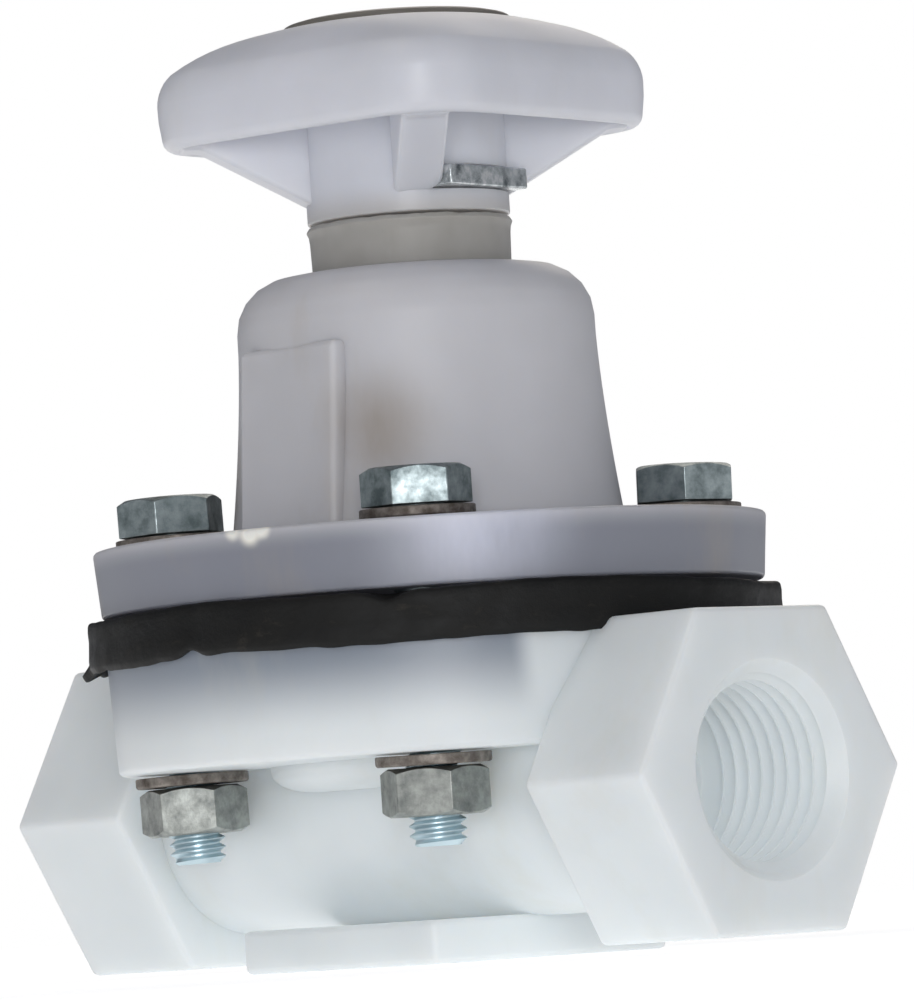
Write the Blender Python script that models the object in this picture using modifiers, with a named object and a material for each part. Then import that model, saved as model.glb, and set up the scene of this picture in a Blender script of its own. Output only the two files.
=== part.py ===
"""Screwed-end weir diaphragm valve, 15 mm size, with a rising handwheel.

Metres, +Z up along the spindle, +X along the flow axis. The origin is the centre of
the foot pad's underside. The valve is modelled shut, with the hub down on the bush.
"""
import bpy
import bmesh
from math import acos, asin, cos, degrees, pi, radians, sin, sqrt, tan
from mathutils import Matrix, Quaternion, Vector

MM = 0.001

# Gaps and clearances
CONTACT_GAP = 0.20 * MM      # between faces that rest on each other
SEAL_GAP = 0.30 * MM         # between the rubber and what clamps or presses it
RUNNING_GAP = 0.30 * MM      # around turning and sliding pieces
HOLE_GAP = 0.40 * MM         # around the bolts

# Body
FACE_TO_FACE = 95.0 * MM
HEX_FLATS = 33.3 * MM
HEX_LENGTH = 16.6 * MM
FOOT_DROP = 0.85 * MM        # foot pad below the hexagons
FOOT_LENGTH = 29.2 * MM
FOOT_WIDTH = 34.4 * MM
FOOT_HEIGHT = 4.6 * MM
BARREL_RADIUS = 13.2 * MM
PORT_RADIUS = 6.5 * MM
THREAD_RADIUS = 9.32 * MM    # crest radius of the internal 1/2 inch pipe thread
THREAD_LENGTH = 16.2 * MM
MOUTH_CHAMFER = 1.8 * MM
BODY_FLANGE_THICK = 12.45 * MM
BODY_FLANGE_RADIUS = 35.0 * MM
FLANGE_DRAFT = 0.6 * MM      # radius lost over a flange's thickness
BOWL_RADIUS = 14.8 * MM
BOWL_DEPTH = 12.2 * MM       # bowl's shelf below the flange face
BOWL_WALL = 3.6 * MM
BULGE_DEPTH = 3.0 * MM       # bowl's outside below the flange
BULGE_ROUNDING = 5.0 * MM
WELL_RADIUS = 9.8 * MM       # deeper well in the bowl, down to the ports
WEIR_THICK = 4.6 * MM
SEAT_RADIUS = 19.2 * MM      # arch of the weir's crest
SEAT_DEPTH = 6.65 * MM       # crest's lowest point below the flange face

# Diaphragm
RIM_RADIUS = 36.5 * MM
RIM_THICK = 3.65 * MM
CUP_THICK = 3.4 * MM
STUD_DISC_RADIUS = 4.0 * MM
STUD_DISC_THICK = 1.0 * MM
STUD_COVER = 1.2 * MM        # rubber under the stud's disc
STUD_RADIUS = 2.5 * MM
STUD_LENGTH = 6.4 * MM

# Bonnet and bush
BONNET_FLANGE_RADIUS = 35.8 * MM
BONNET_FLANGE_THICK = 7.1 * MM
BELL_HEIGHT = 27.8 * MM
BELL_BASE_RADIUS = 20.95 * MM
BELL_TOP_RADIUS = 19.0 * MM
SHOULDER_RADIUS = 5.6 * MM
BONNET_CAVITY_RADIUS = 15.8 * MM
BONNET_CAVITY_TAPER = 0.9 * MM
BONNET_ROOF = 6.8 * MM
LAND_HALF_WIDTH = 7.3 * MM
LAND_PROUD = 0.15 * MM       # flat land's stand above the bell
LAND_DROP = 8.0 * MM         # land's top below the bell's top
GUIDE_HALF_WIDTH = 3.0 * MM
GUIDE_DEPTH = 1.4 * MM
BUSH_RADIUS = 11.0 * MM
BUSH_TAPER = 0.4 * MM
BUSH_HEIGHT = 5.1 * MM
BUSH_SHANK_RADIUS = 7.7 * MM

# Moving parts
SPINDLE_RADIUS = 4.8 * MM
SPINDLE_HEAD_RADIUS = 6.2 * MM
SPINDLE_HEAD_THICK = 3.2 * MM
SPINDLE_FLATS = 7.2 * MM
COMPRESSOR_EDGE_GAP = 0.5 * MM  # inside the cup where it meets the rim
COMPRESSOR_SKIRT = 4.0 * MM
COMPRESSOR_BOSS_RADIUS = 10.8 * MM
COMPRESSOR_FLOOR = 7.1 * MM  # underside to the spindle's pocket
SWIVEL_NUT_RADIUS = 8.2 * MM
SWIVEL_NUT_THICK = 5.6 * MM

# Handwheel
WHEEL_REST_ANGLE = radians(7.0)
HUB_RADIUS = 10.8 * MM
WHEEL_HEIGHT = 21.6 * MM     # hub's foot to the crown
WHEEL_HALF_FLAT = 20.8 * MM
WHEEL_CORNER_RADIUS = 8.0 * MM
RIM_FALL = 6.0 * MM          # crown down to the rim's upper edge
CROWN_CURVE = 4.0            # the higher, the flatter the crown's middle
CAP_PROUD = 0.7 * MM         # cap's face above the crown round it
RIM_HEIGHT = 7.4 * MM
RIM_WALL = 4.2 * MM
RIM_LIP_RISE = 1.3 * MM      # inner edge of the rim's underside above the outer
CROWN_THICK = 3.4 * MM
RIB_THICK = 5.0 * MM
RIB_FOOT = 1.6 * MM          # rib's lower end above the hub's foot
PLATE_THICK = 2.2 * MM
PLATE_WIDTH = 13.0 * MM
PLATE_PROUD = 0.45 * MM
PLATE_HEIGHT = 2.4 * MM      # plate's underside above the hub's foot
CAP_RADIUS = 12.2 * MM
CAP_THICK = 1.3 * MM
CAP_PLUG_RADIUS = 7.2 * MM
CAP_PLUG_LENGTH = 4.0 * MM

# M6 fasteners
BOLT_SPACING_X = 37.2 * MM
BOLT_SPACING_Y = 39.2 * MM
BOLT_RADIUS = 2.95 * MM
BOLT_PROUD = 3.1 * MM        # thread end past the nut
HEX_KEY = 10.0 * MM
HEAD_HEIGHT = 4.0 * MM
NUT_HEIGHT = 5.0 * MM
BOLT_LEAN = radians(1.2)     # heads outwards, inside the holes' clearance
WASHER_RADIUS = 6.0 * MM
WASHER_THICK = 1.1 * MM

# Heights worked out from the sizes above
FLOW_AXIS = FOOT_DROP + HEX_FLATS / 2
BODY_FACE = FOOT_DROP + HEX_FLATS
FLANGE_UNDERSIDE = BODY_FACE - BODY_FLANGE_THICK
SEAT_CENTRE = BODY_FACE - SEAT_DEPTH + SEAT_RADIUS
RIM_UNDERSIDE = BODY_FACE + SEAL_GAP
RIM_TOP = RIM_UNDERSIDE + RIM_THICK
BONNET_FACE = RIM_TOP + SEAL_GAP
BONNET_FLANGE_TOP = BONNET_FACE + BONNET_FLANGE_THICK
BONNET_TOP = BONNET_FLANGE_TOP + BELL_HEIGHT
BONNET_CEILING = BONNET_TOP - BONNET_ROOF
BUSH_TOP = BONNET_TOP + CONTACT_GAP + BUSH_HEIGHT
HUB_FOOT = BUSH_TOP + RUNNING_GAP
CUP_OUTER_RADIUS = SEAT_RADIUS - SEAL_GAP
CUP_INNER_RADIUS = CUP_OUTER_RADIUS - CUP_THICK
COMPRESSOR_FACE_RADIUS = CUP_INNER_RADIUS - SEAL_GAP
CUP_MOUTH_RADIUS = sqrt(CUP_INNER_RADIUS ** 2 - (SEAT_CENTRE - RIM_TOP) ** 2)
COMPRESSOR_RADIUS = CUP_MOUTH_RADIUS - COMPRESSOR_EDGE_GAP
COMPRESSOR_BOTTOM = SEAT_CENTRE - COMPRESSOR_FACE_RADIUS
COMPRESSOR_SHOULDER = SEAT_CENTRE - sqrt(COMPRESSOR_FACE_RADIUS ** 2 - COMPRESSOR_RADIUS ** 2)
POCKET_FLOOR = COMPRESSOR_BOTTOM + COMPRESSOR_FLOOR
HEAD_BOTTOM = POCKET_FLOOR + RUNNING_GAP
HEAD_TOP = HEAD_BOTTOM + SPINDLE_HEAD_THICK
SWIVEL_NUT_BOTTOM = HEAD_TOP + RUNNING_GAP
SWIVEL_NUT_TOP = SWIVEL_NUT_BOTTOM + SWIVEL_NUT_THICK
CROWN = HUB_FOOT + WHEEL_HEIGHT
WHEEL_CORNER = sqrt(2) * (WHEEL_HALF_FLAT - WHEEL_CORNER_RADIUS) + WHEEL_CORNER_RADIUS
RIM_LOWER = CROWN - RIM_FALL - RIM_HEIGHT
PLATE_BOTTOM = HUB_FOOT + PLATE_HEIGHT
HEX_INNER = FACE_TO_FACE / 2 - HEX_LENGTH
SPINDLE_TOP = CROWN - CAP_THICK - CAP_PLUG_LENGTH - 1.5 * MM
STUD_DISC_BOTTOM = SEAT_CENTRE - CUP_OUTER_RADIUS + STUD_COVER

ROUND = 48                   # sides of a large turned piece
SMALL_ROUND = 28             # sides of a small one


def clear_scene():
    for item in list(bpy.data.objects):
        bpy.data.objects.remove(item, do_unlink=True)


def new_collection(name):
    collection = bpy.data.collections.new(name)
    bpy.context.scene.collection.children.link(collection)
    return collection


def material(name, colour, roughness, metallic=0.0):
    result = bpy.data.materials.new(name)
    result.use_nodes = True
    shader = result.node_tree.nodes["Principled BSDF"]
    shader.inputs["Base Color"].default_value = (*colour, 1.0)
    shader.inputs["Roughness"].default_value = roughness
    shader.inputs["Metallic"].default_value = metallic
    return result


def add_object(name, mesh, collection, finish=None):
    item = bpy.data.objects.new(name, mesh)
    collection.objects.link(item)
    if finish:
        mesh.materials.append(finish)
    return item


def mesh_from(bm, name, smooth_angle=35.0):
    bmesh.ops.recalc_face_normals(bm, faces=bm.faces)
    mesh = bpy.data.meshes.new(name)
    bm.to_mesh(mesh)
    bm.free()
    mesh.shade_smooth()
    mesh.set_sharp_from_angle(angle=radians(smooth_angle))
    return mesh


def cylinder(name, radius, length, centre, axis="Z", sides=SMALL_ROUND, end_radius=None, turn=0.0):
    """A closed cylinder, cone or prism whose first radius is at the low end of its axis."""
    bm = bmesh.new()
    bmesh.ops.create_cone(bm, cap_ends=True, segments=sides, radius1=radius,
                          radius2=radius if end_radius is None else end_radius, depth=length)
    bmesh.ops.rotate(bm, verts=bm.verts, matrix=Matrix.Rotation(turn, 3, "Z"))
    if axis == "X":
        bmesh.ops.rotate(bm, verts=bm.verts, matrix=Matrix.Rotation(pi / 2, 3, "Y"))
    bmesh.ops.translate(bm, verts=bm.verts, vec=centre)
    return mesh_from(bm, name)


def box(name, size, centre):
    bm = bmesh.new()
    bmesh.ops.create_cube(bm, size=1.0)
    bmesh.ops.scale(bm, verts=bm.verts, vec=size)
    bmesh.ops.translate(bm, verts=bm.verts, vec=centre)
    return mesh_from(bm, name)


def arc(centre_r, centre_z, radius, start, end, steps):
    """Points of an arc in the turning plane, angles in degrees from the outward direction."""
    angles = [radians(start + (end - start) * i / steps) for i in range(steps + 1)]
    return [(centre_r + radius * cos(a), centre_z + radius * sin(a)) for a in angles]


def turned(name, profile, closed, collection, finish=None, sides=ROUND):
    """Turns a profile of (radius, height) points about Z; a closed profile makes a ring."""
    bm = bmesh.new()
    points = [bm.verts.new((radius, 0.0, height)) for radius, height in profile]
    for first, second in zip(points, points[1:]):
        bm.edges.new((first, second))
    if closed:
        bm.edges.new((points[-1], points[0]))
    mesh = bpy.data.meshes.new(name)
    bm.to_mesh(mesh)
    bm.free()
    item = add_object(name, mesh, collection, finish)
    screw = item.modifiers.new("Turn", "SCREW")
    screw.axis = "Z"
    screw.angle = 2 * pi
    screw.steps = sides
    screw.render_steps = sides
    screw.use_merge_vertices = True
    screw.merge_threshold = 0.00001
    screw.use_smooth_shade = True
    return item


def as_tool(item):
    item.hide_render = True
    item.display_type = "WIRE"
    return item


def tool(mesh):
    return as_tool(add_object(mesh.name, mesh, tools))


def turned_tool(name, profile, closed=False, sides=ROUND):
    return as_tool(turned(name, profile, closed, tools, None, sides))


def combine(item, other, operation):
    modifier = item.modifiers.new(other.name, "BOOLEAN")
    modifier.operation = operation
    modifier.solver = "EXACT"
    modifier.object = other


def join(item, other):
    combine(item, other, "UNION")


def cut(item, other):
    combine(item, other, "DIFFERENCE")


def bolt_places():
    half_x, half_y = BOLT_SPACING_X / 2, BOLT_SPACING_Y / 2
    return [(-half_x, -half_y), (half_x, -half_y), (half_x, half_y), (-half_x, half_y)]


def cut_bolt_holes(item, bottom, top):
    """Drills the four bolt holes, each with a tool of its own."""
    margin = 1.0 * MM
    for number, (x, y) in enumerate(bolt_places(), start=1):
        centre = (x, y, (bottom + top) / 2)
        hole = cylinder(f"{item.name}_hole_{number}", BOLT_RADIUS + HOLE_GAP,
                        top - bottom + 2 * margin, centre, sides=16)
        cut(item, tool(hole))


def hexagon_end(side):
    radius = HEX_FLATS / 2 / cos(pi / 6)
    centre = (side * (FACE_TO_FACE - HEX_LENGTH) / 2, 0.0, FLOW_AXIS)
    return cylinder(f"hexagon_end_{'outlet' if side > 0 else 'inlet'}", radius, HEX_LENGTH, centre,
                    axis="X", sides=6, turn=0.0)


def build_body(finish):
    """Body: two hexagon ends, barrel, bowl, round flange and foot pad, bored from both ends."""
    body = add_object("valve_body", hexagon_end(1), parts, finish)
    join(body, tool(hexagon_end(-1)))
    barrel_length = 2 * HEX_INNER + 4.0 * MM
    join(body, tool(cylinder("barrel", BARREL_RADIUS, barrel_length, (0, 0, FLOW_AXIS), "X", 36)))
    bottom_radius = BODY_FLANGE_RADIUS - FLANGE_DRAFT
    join(body, tool(cylinder("body_flange", bottom_radius, BODY_FLANGE_THICK,
                             (0, 0, BODY_FACE - BODY_FLANGE_THICK / 2), sides=ROUND,
                             end_radius=BODY_FLANGE_RADIUS)))
    join(body, turned_tool("bowl_bulge", bulge_profile()))
    foot = box("foot_pad", (FOOT_LENGTH, FOOT_WIDTH, FOOT_HEIGHT), (0, 0, FOOT_HEIGHT / 2))
    join(body, tool(foot))
    cut_passages(body)
    cut_bolt_holes(body, FLANGE_UNDERSIDE, BODY_FACE)


def bulge_profile():
    """Outside of the bowl, from inside the flange down to its rounded lower edge."""
    outer = BOWL_RADIUS + BOWL_WALL
    rounding = 2.6 * MM
    centre = FLANGE_UNDERSIDE - BULGE_DEPTH + rounding
    top = FLANGE_UNDERSIDE + BULGE_DEPTH
    points = [(0.0, top), (outer, top), (outer, centre)]
    steps = 6
    for i in range(1, steps + 1):
        angle = pi / 2 * i / steps
        points.append((outer - BULGE_ROUNDING * (1 - cos(angle)), centre - rounding * sin(angle)))
    return points + [(0.0, FLANGE_UNDERSIDE - BULGE_DEPTH)]


def bowl_profile():
    """Inside of the bowl: a shelf round a deeper well that meets the ports."""
    top = BODY_FACE + 2 * MM
    shelf = BODY_FACE - BOWL_DEPTH
    floor = FLOW_AXIS - PORT_RADIUS
    shelf_corner = 2.5 * MM
    lip = 1.2 * MM
    well_corner = 4.0 * MM
    points = [(0.0, top), (BOWL_RADIUS, top)]
    points += arc(BOWL_RADIUS - shelf_corner, shelf + shelf_corner, shelf_corner, 0, -90, 3)
    points += arc(WELL_RADIUS + lip, shelf - lip, lip, 90, 180, 2)
    points += arc(WELL_RADIUS - well_corner, floor + well_corner, well_corner, 0, -90, 4)
    return points + [(0.0, floor)]


def cut_passages(body):
    """Threaded mouths, ports and the bowl on each side of the weir, with its arched crest."""
    margin = 2.0 * MM
    face = FACE_TO_FACE / 2
    for side, label in ((1, "outlet"), (-1, "inlet")):
        bore_length = THREAD_LENGTH + margin
        bore_centre = side * (face + margin - bore_length / 2)
        cut(body, tool(cylinder(f"{label}_thread_bore", THREAD_RADIUS, bore_length,
                                (bore_centre, 0, FLOW_AXIS), "X", 36)))
        chamfer_depth = MOUTH_CHAMFER + margin
        wide = THREAD_RADIUS + chamfer_depth
        radii = (THREAD_RADIUS, wide) if side > 0 else (wide, THREAD_RADIUS)
        chamfer_centre = side * (face - MOUTH_CHAMFER + chamfer_depth / 2)
        cut(body, tool(cylinder(f"{label}_chamfer", radii[0], chamfer_depth,
                                (chamfer_centre, 0, FLOW_AXIS), "X", 36, end_radius=radii[1])))
        port_end = WEIR_THICK / 2
        port_length = face - THREAD_LENGTH + margin - port_end
        cut(body, tool(cylinder(f"{label}_port", PORT_RADIUS, port_length,
                                (side * (port_end + port_length / 2), 0, FLOW_AXIS), "X", 28)))
    cavity = turned_tool("bowl_cavity", bowl_profile(), sides=48)
    weir_foot = FLOW_AXIS - PORT_RADIUS
    weir_height = BODY_FACE - weir_foot + 4 * margin
    cut(cavity, tool(box("weir_wall", (WEIR_THICK, 3 * BOWL_RADIUS, weir_height),
                         (0, 0, (BODY_FACE + weir_foot) / 2))))
    cut(body, cavity)
    rise = SEAT_CENTRE - BODY_FACE - margin
    edge = -degrees(asin(rise / SEAT_RADIUS))
    seat = [(0.0, SEAT_CENTRE - rise)] + arc(0.0, SEAT_CENTRE, SEAT_RADIUS, edge, -90, 10)
    cut(body, turned_tool("weir_seat", on_axis(seat), sides=48))


def on_axis(profile):
    """Puts a profile's last point exactly on the axis."""
    return profile[:-1] + [(0.0, profile[-1][1])]


def build_diaphragm(finish):
    """Rubber: a flat clamped rim and a cup that presses on the weir, moulded round its stud."""
    hole = STUD_RADIUS + CONTACT_GAP
    disc = STUD_DISC_RADIUS + CONTACT_GAP
    floor = STUD_DISC_BOTTOM - CONTACT_GAP
    roof = STUD_DISC_BOTTOM + STUD_DISC_THICK + CONTACT_GAP
    inner_start = -degrees(acos(hole / CUP_INNER_RADIUS))
    inner_end = -degrees(asin((SEAT_CENTRE - RIM_TOP) / CUP_INNER_RADIUS))
    outer_start = -degrees(asin((SEAT_CENTRE - RIM_UNDERSIDE) / CUP_OUTER_RADIUS))
    profile = [(0.0, floor), (disc, floor), (disc, roof), (hole, roof)]
    profile += arc(0.0, SEAT_CENTRE, CUP_INNER_RADIUS, inner_start, inner_end, 7)
    profile += [(RIM_RADIUS, RIM_TOP), (RIM_RADIUS, RIM_UNDERSIDE)]
    profile += arc(0.0, SEAT_CENTRE, CUP_OUTER_RADIUS, outer_start, -90, 8)
    diaphragm = turned("diaphragm", on_axis(profile), False, parts, finish)
    cut_bolt_holes(diaphragm, RIM_UNDERSIDE, RIM_TOP)


def build_stud(finish):
    top = STUD_DISC_BOTTOM + STUD_DISC_THICK
    profile = [(0.0, top + STUD_LENGTH), (STUD_RADIUS, top + STUD_LENGTH), (STUD_RADIUS, top),
               (STUD_DISC_RADIUS, top), (STUD_DISC_RADIUS, STUD_DISC_BOTTOM), (0.0, STUD_DISC_BOTTOM)]
    turned("diaphragm_stud", profile, False, parts, finish, 20)


def build_compressor(finish):
    """Presses the diaphragm, and holds the spindle's head in a pocket closed by the swivel nut."""
    pocket = SPINDLE_HEAD_RADIUS + RUNNING_GAP
    nut_pocket = SWIVEL_NUT_RADIUS + CONTACT_GAP
    step = SWIVEL_NUT_BOTTOM - CONTACT_GAP
    shoulder = COMPRESSOR_SHOULDER + COMPRESSOR_SKIRT
    hole = STUD_RADIUS + CONTACT_GAP
    hole_top = STUD_DISC_BOTTOM + STUD_DISC_THICK + STUD_LENGTH + CONTACT_GAP
    start = -degrees(acos(COMPRESSOR_RADIUS / COMPRESSOR_FACE_RADIUS))
    end = -degrees(acos(hole / COMPRESSOR_FACE_RADIUS))
    profile = [(0.0, POCKET_FLOOR), (pocket, POCKET_FLOOR), (pocket, step), (nut_pocket, step),
               (nut_pocket, SWIVEL_NUT_TOP), (COMPRESSOR_BOSS_RADIUS, SWIVEL_NUT_TOP),
               (COMPRESSOR_BOSS_RADIUS, shoulder), (COMPRESSOR_RADIUS, shoulder)]
    profile += arc(0.0, SEAT_CENTRE, COMPRESSOR_FACE_RADIUS, start, end, 6)
    profile += [(hole, hole_top), (0.0, hole_top)]
    compressor = turned("compressor", profile, False, parts, finish, 40)
    ear_end = BONNET_CAVITY_RADIUS + GUIDE_DEPTH - RUNNING_GAP
    ear_start = COMPRESSOR_BOSS_RADIUS - 1.5 * MM
    ear_bottom = RIM_TOP + SEAL_GAP + 0.6 * MM
    ear_top = SWIVEL_NUT_TOP - 2 * MM
    for side, label in ((1, "back"), (-1, "front")):
        size = (2 * (GUIDE_HALF_WIDTH - RUNNING_GAP), ear_end - ear_start, ear_top - ear_bottom)
        centre = (0, side * (ear_start + ear_end) / 2, (ear_top + ear_bottom) / 2)
        join(compressor, tool(box(f"guide_ear_{label}", size, centre)))


def build_swivel_nut(finish):
    bore = SPINDLE_RADIUS + RUNNING_GAP
    profile = [(bore, SWIVEL_NUT_TOP), (SWIVEL_NUT_RADIUS, SWIVEL_NUT_TOP),
               (SWIVEL_NUT_RADIUS, SWIVEL_NUT_BOTTOM), (bore, SWIVEL_NUT_BOTTOM)]
    turned("swivel_nut", profile, True, parts, finish, 32)


def build_spindle(finish):
    """Threaded spindle with its swivelling head below and two flats for the lock plate above."""
    chamfer = 0.6 * MM
    profile = [(0.0, SPINDLE_TOP), (SPINDLE_RADIUS - chamfer, SPINDLE_TOP),
               (SPINDLE_RADIUS, SPINDLE_TOP - chamfer), (SPINDLE_RADIUS, HEAD_TOP),
               (SPINDLE_HEAD_RADIUS, HEAD_TOP), (SPINDLE_HEAD_RADIUS, HEAD_BOTTOM), (0.0, HEAD_BOTTOM)]
    spindle = turned("spindle", profile, False, parts, finish, 32)
    spindle.parent = wheel_axis
    depth = SPINDLE_RADIUS
    height = PLATE_THICK + 2 * CONTACT_GAP
    for side, label in ((1, "back"), (-1, "front")):
        flat = box(f"spindle_flat_{label}", (4 * SPINDLE_RADIUS, depth, height),
                   (0, side * (SPINDLE_FLATS + depth) / 2, PLATE_BOTTOM + PLATE_THICK / 2))
        cut(spindle, wheel_tool(flat))


def bell_profile():
    """Outer bell from its shoulder down to the flange."""
    top = BONNET_TOP - SHOULDER_RADIUS
    points = arc(BELL_TOP_RADIUS - SHOULDER_RADIUS, top, SHOULDER_RADIUS, 90, 0, 6)
    steps = 5
    for i in range(1, steps + 1):
        height = top + (BONNET_FLANGE_TOP - top) * i / steps
        points.append((bell_radius(height), height))
    return points


def bell_radius(height):
    """The bell's outer radius at a height between its foot and its shoulder."""
    top = BONNET_TOP - SHOULDER_RADIUS
    share = (top - height) / (top - BONNET_FLANGE_TOP)
    return BELL_TOP_RADIUS + (BELL_BASE_RADIUS - BELL_TOP_RADIUS) * max(share, 0.0) ** 1.6


def build_bonnet(finish):
    """Bell-shaped bonnet on a round flange, with a flat land outside over each guide groove."""
    hole = BUSH_SHANK_RADIUS + CONTACT_GAP
    profile = [(hole, BONNET_TOP)] + bell_profile()
    profile += [(BONNET_FLANGE_RADIUS, BONNET_FLANGE_TOP),
                (BONNET_FLANGE_RADIUS - FLANGE_DRAFT, BONNET_FACE),
                (BONNET_CAVITY_RADIUS, BONNET_FACE),
                (BONNET_CAVITY_RADIUS - BONNET_CAVITY_TAPER, BONNET_CEILING),
                (hole, BONNET_CEILING)]
    bonnet = turned("bonnet", profile, True, parts, finish)
    land_top = BONNET_TOP - LAND_DROP
    land_foot = BONNET_FLANGE_TOP - 2 * MM
    root = BELL_TOP_RADIUS - 1.5 * MM
    face_top = bell_radius(land_top) + LAND_PROUD
    face_foot = BELL_BASE_RADIUS
    groove_end = BONNET_CAVITY_RADIUS + GUIDE_DEPTH
    groove_start = COMPRESSOR_RADIUS
    groove_top = BONNET_CEILING - 1 * MM
    groove_foot = BONNET_FACE - 1 * MM
    for side, label in ((1, "back"), (-1, "front")):
        outline = [(root, land_foot), (face_foot, land_foot), (face_top, land_top), (root, land_top)]
        join(bonnet, tool(plate(f"land_{label}", outline, 2 * LAND_HALF_WIDTH, side * pi / 2)))
        size = (2 * GUIDE_HALF_WIDTH, groove_end - groove_start, groove_top - groove_foot)
        centre = (0, side * (groove_start + groove_end) / 2, (groove_top + groove_foot) / 2)
        cut(bonnet, tool(box(f"guide_groove_{label}", size, centre)))
    cut_bolt_holes(bonnet, BONNET_FACE, BONNET_FLANGE_TOP)


def build_bush(finish):
    """Bush screwed into the bonnet's top; the spindle's thread runs in it."""
    bore = SPINDLE_RADIUS + RUNNING_GAP
    seat = BONNET_TOP + CONTACT_GAP
    profile = [(bore, BUSH_TOP), (BUSH_RADIUS, BUSH_TOP), (BUSH_RADIUS - BUSH_TAPER, seat),
               (BUSH_SHANK_RADIUS, seat), (BUSH_SHANK_RADIUS, BONNET_CEILING), (bore, BONNET_CEILING)]
    turned("bonnet_bush", profile, True, parts, finish, 48)


def plate(name, outline, thickness, angle):
    """A flat plate from an outline of (radius, height) points, standing along one direction."""
    bm = bmesh.new()
    loop = [bm.verts.new((radius, -thickness / 2, height)) for radius, height in outline]
    face = bm.faces.new(loop)
    grown = bmesh.ops.extrude_face_region(bm, geom=[face])["geom"]
    moved = [item for item in grown if isinstance(item, bmesh.types.BMVert)]
    bmesh.ops.translate(bm, verts=moved, vec=(0, thickness, 0))
    bmesh.ops.rotate(bm, verts=bm.verts, matrix=Matrix.Rotation(angle, 3, "Z"))
    return mesh_from(bm, name)


def wheel_tool(mesh):
    item = tool(mesh)
    item.parent = wheel_axis
    return item


def crown_height(radius):
    """Top of the wheel at a radius measured towards a corner."""
    fall = (RIM_FALL - CAP_PROUD) * (radius / WHEEL_CORNER) ** CROWN_CURVE
    return CROWN - CAP_PROUD - fall


def square_reach(angle):
    """Distance from the axis to the rim's rounded-square outline in a direction."""
    folded = abs((angle + pi / 4) % (pi / 2) - pi / 4)
    inner = WHEEL_HALF_FLAT - WHEEL_CORNER_RADIUS
    if tan(folded) <= inner / WHEEL_HALF_FLAT:
        return WHEEL_HALF_FLAT / cos(folded)
    lean = inner * (cos(folded) + sin(folded))
    return lean + sqrt(lean ** 2 - 2 * inner ** 2 + WHEEL_CORNER_RADIUS ** 2)


def wheel_profile():
    """Section of the wheel towards a corner: cap recess, crown, rim, underside, hub and bore."""
    recess = CAP_RADIUS + CONTACT_GAP
    recess_floor = CROWN - CAP_THICK - CONTACT_GAP
    bore = SPINDLE_RADIUS + RUNNING_GAP
    plug = CAP_PLUG_RADIUS + CONTACT_GAP
    plug_floor = CROWN - CAP_THICK - CAP_PLUG_LENGTH - 2 * CONTACT_GAP
    bead = 1.6 * MM
    inner_wall = WHEEL_CORNER - RIM_WALL
    points = [(plug, recess_floor), (recess, recess_floor), (recess, crown_height(recess))]
    steps = 5
    edge = WHEEL_CORNER - bead
    points += [(recess + (edge - recess) * i / steps, crown_height(recess + (edge - recess) * i / steps))
               for i in range(1, steps + 1)]
    points += arc(edge, crown_height(edge) - bead, bead, 60, 0, 2)
    points += arc(edge, RIM_LOWER + bead, bead, 0, -90, 3)
    points += [(inner_wall, RIM_LOWER + RIM_LIP_RISE), (inner_wall, crown_height(inner_wall) - CROWN_THICK)]
    middle = (inner_wall + HUB_RADIUS) / 2
    points += [(middle, crown_height(middle) - CROWN_THICK),
               (HUB_RADIUS, crown_height(HUB_RADIUS) - CROWN_THICK), (HUB_RADIUS, HUB_FOOT),
               (bore, HUB_FOOT), (bore, plug_floor), (plug, plug_floor)]
    return points


def wheel_shell():
    """Turns the wheel's section and draws it in to the rounded-square outline past the hub."""
    bm = bmesh.new()
    points = [bm.verts.new((radius, 0.0, height)) for radius, height in wheel_profile()]
    edges = [bm.edges.new(pair) for pair in zip(points, points[1:] + points[:1])]
    bmesh.ops.spin(bm, geom=points + edges, cent=(0, 0, 0), axis=(0, 0, 1), angle=2 * pi,
                   steps=ROUND, use_merge=True)
    bmesh.ops.remove_doubles(bm, verts=bm.verts, dist=0.00001)
    still = CAP_RADIUS + CONTACT_GAP
    for vert in bm.verts:
        radius = vert.co.xy.length
        if radius > still:
            reach = square_reach(vert.co.xy.angle_signed(Vector((1, 0))))
            drawn = still + (radius - still) * (reach - still) / (WHEEL_CORNER - still)
            vert.co.xy *= drawn / radius
    return mesh_from(bm, "handwheel")


def build_handwheel(finish):
    """Handwheel: crowned rounded-square top with a deep rim, hub and four ribs to its corners."""
    wheel = add_object("handwheel", wheel_shell(), parts, finish)
    wheel.parent = wheel_axis
    sink = CROWN_THICK / 2
    root = HUB_RADIUS - 1 * MM
    end = WHEEL_CORNER - RIM_WALL / 2
    middle = (root + end) / 2
    outline = [(root, HUB_FOOT + RIB_FOOT), (WHEEL_CORNER - RIM_WALL, RIM_LOWER + 0.3 * MM),
               (end, RIM_LOWER + 0.3 * MM), (end, crown_height(end) - sink),
               (middle, crown_height(middle) - sink), (root, crown_height(root) - sink)]
    for number in range(4):
        angle = pi / 4 + number * pi / 2
        join(wheel, wheel_tool(plate(f"rib_{number + 1}", outline, RIB_THICK, angle)))
    slot_width = PLATE_WIDTH + 2 * CONTACT_GAP
    slot_start = -PLATE_WIDTH / 2 - CONTACT_GAP
    slot_end = HUB_RADIUS + 2 * PLATE_PROUD
    size = (slot_end - slot_start, slot_width, PLATE_THICK + 2 * CONTACT_GAP)
    centre = ((slot_start + slot_end) / 2, 0, PLATE_BOTTOM + PLATE_THICK / 2)
    cut(wheel, wheel_tool(box("plate_slot", size, centre)))


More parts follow.
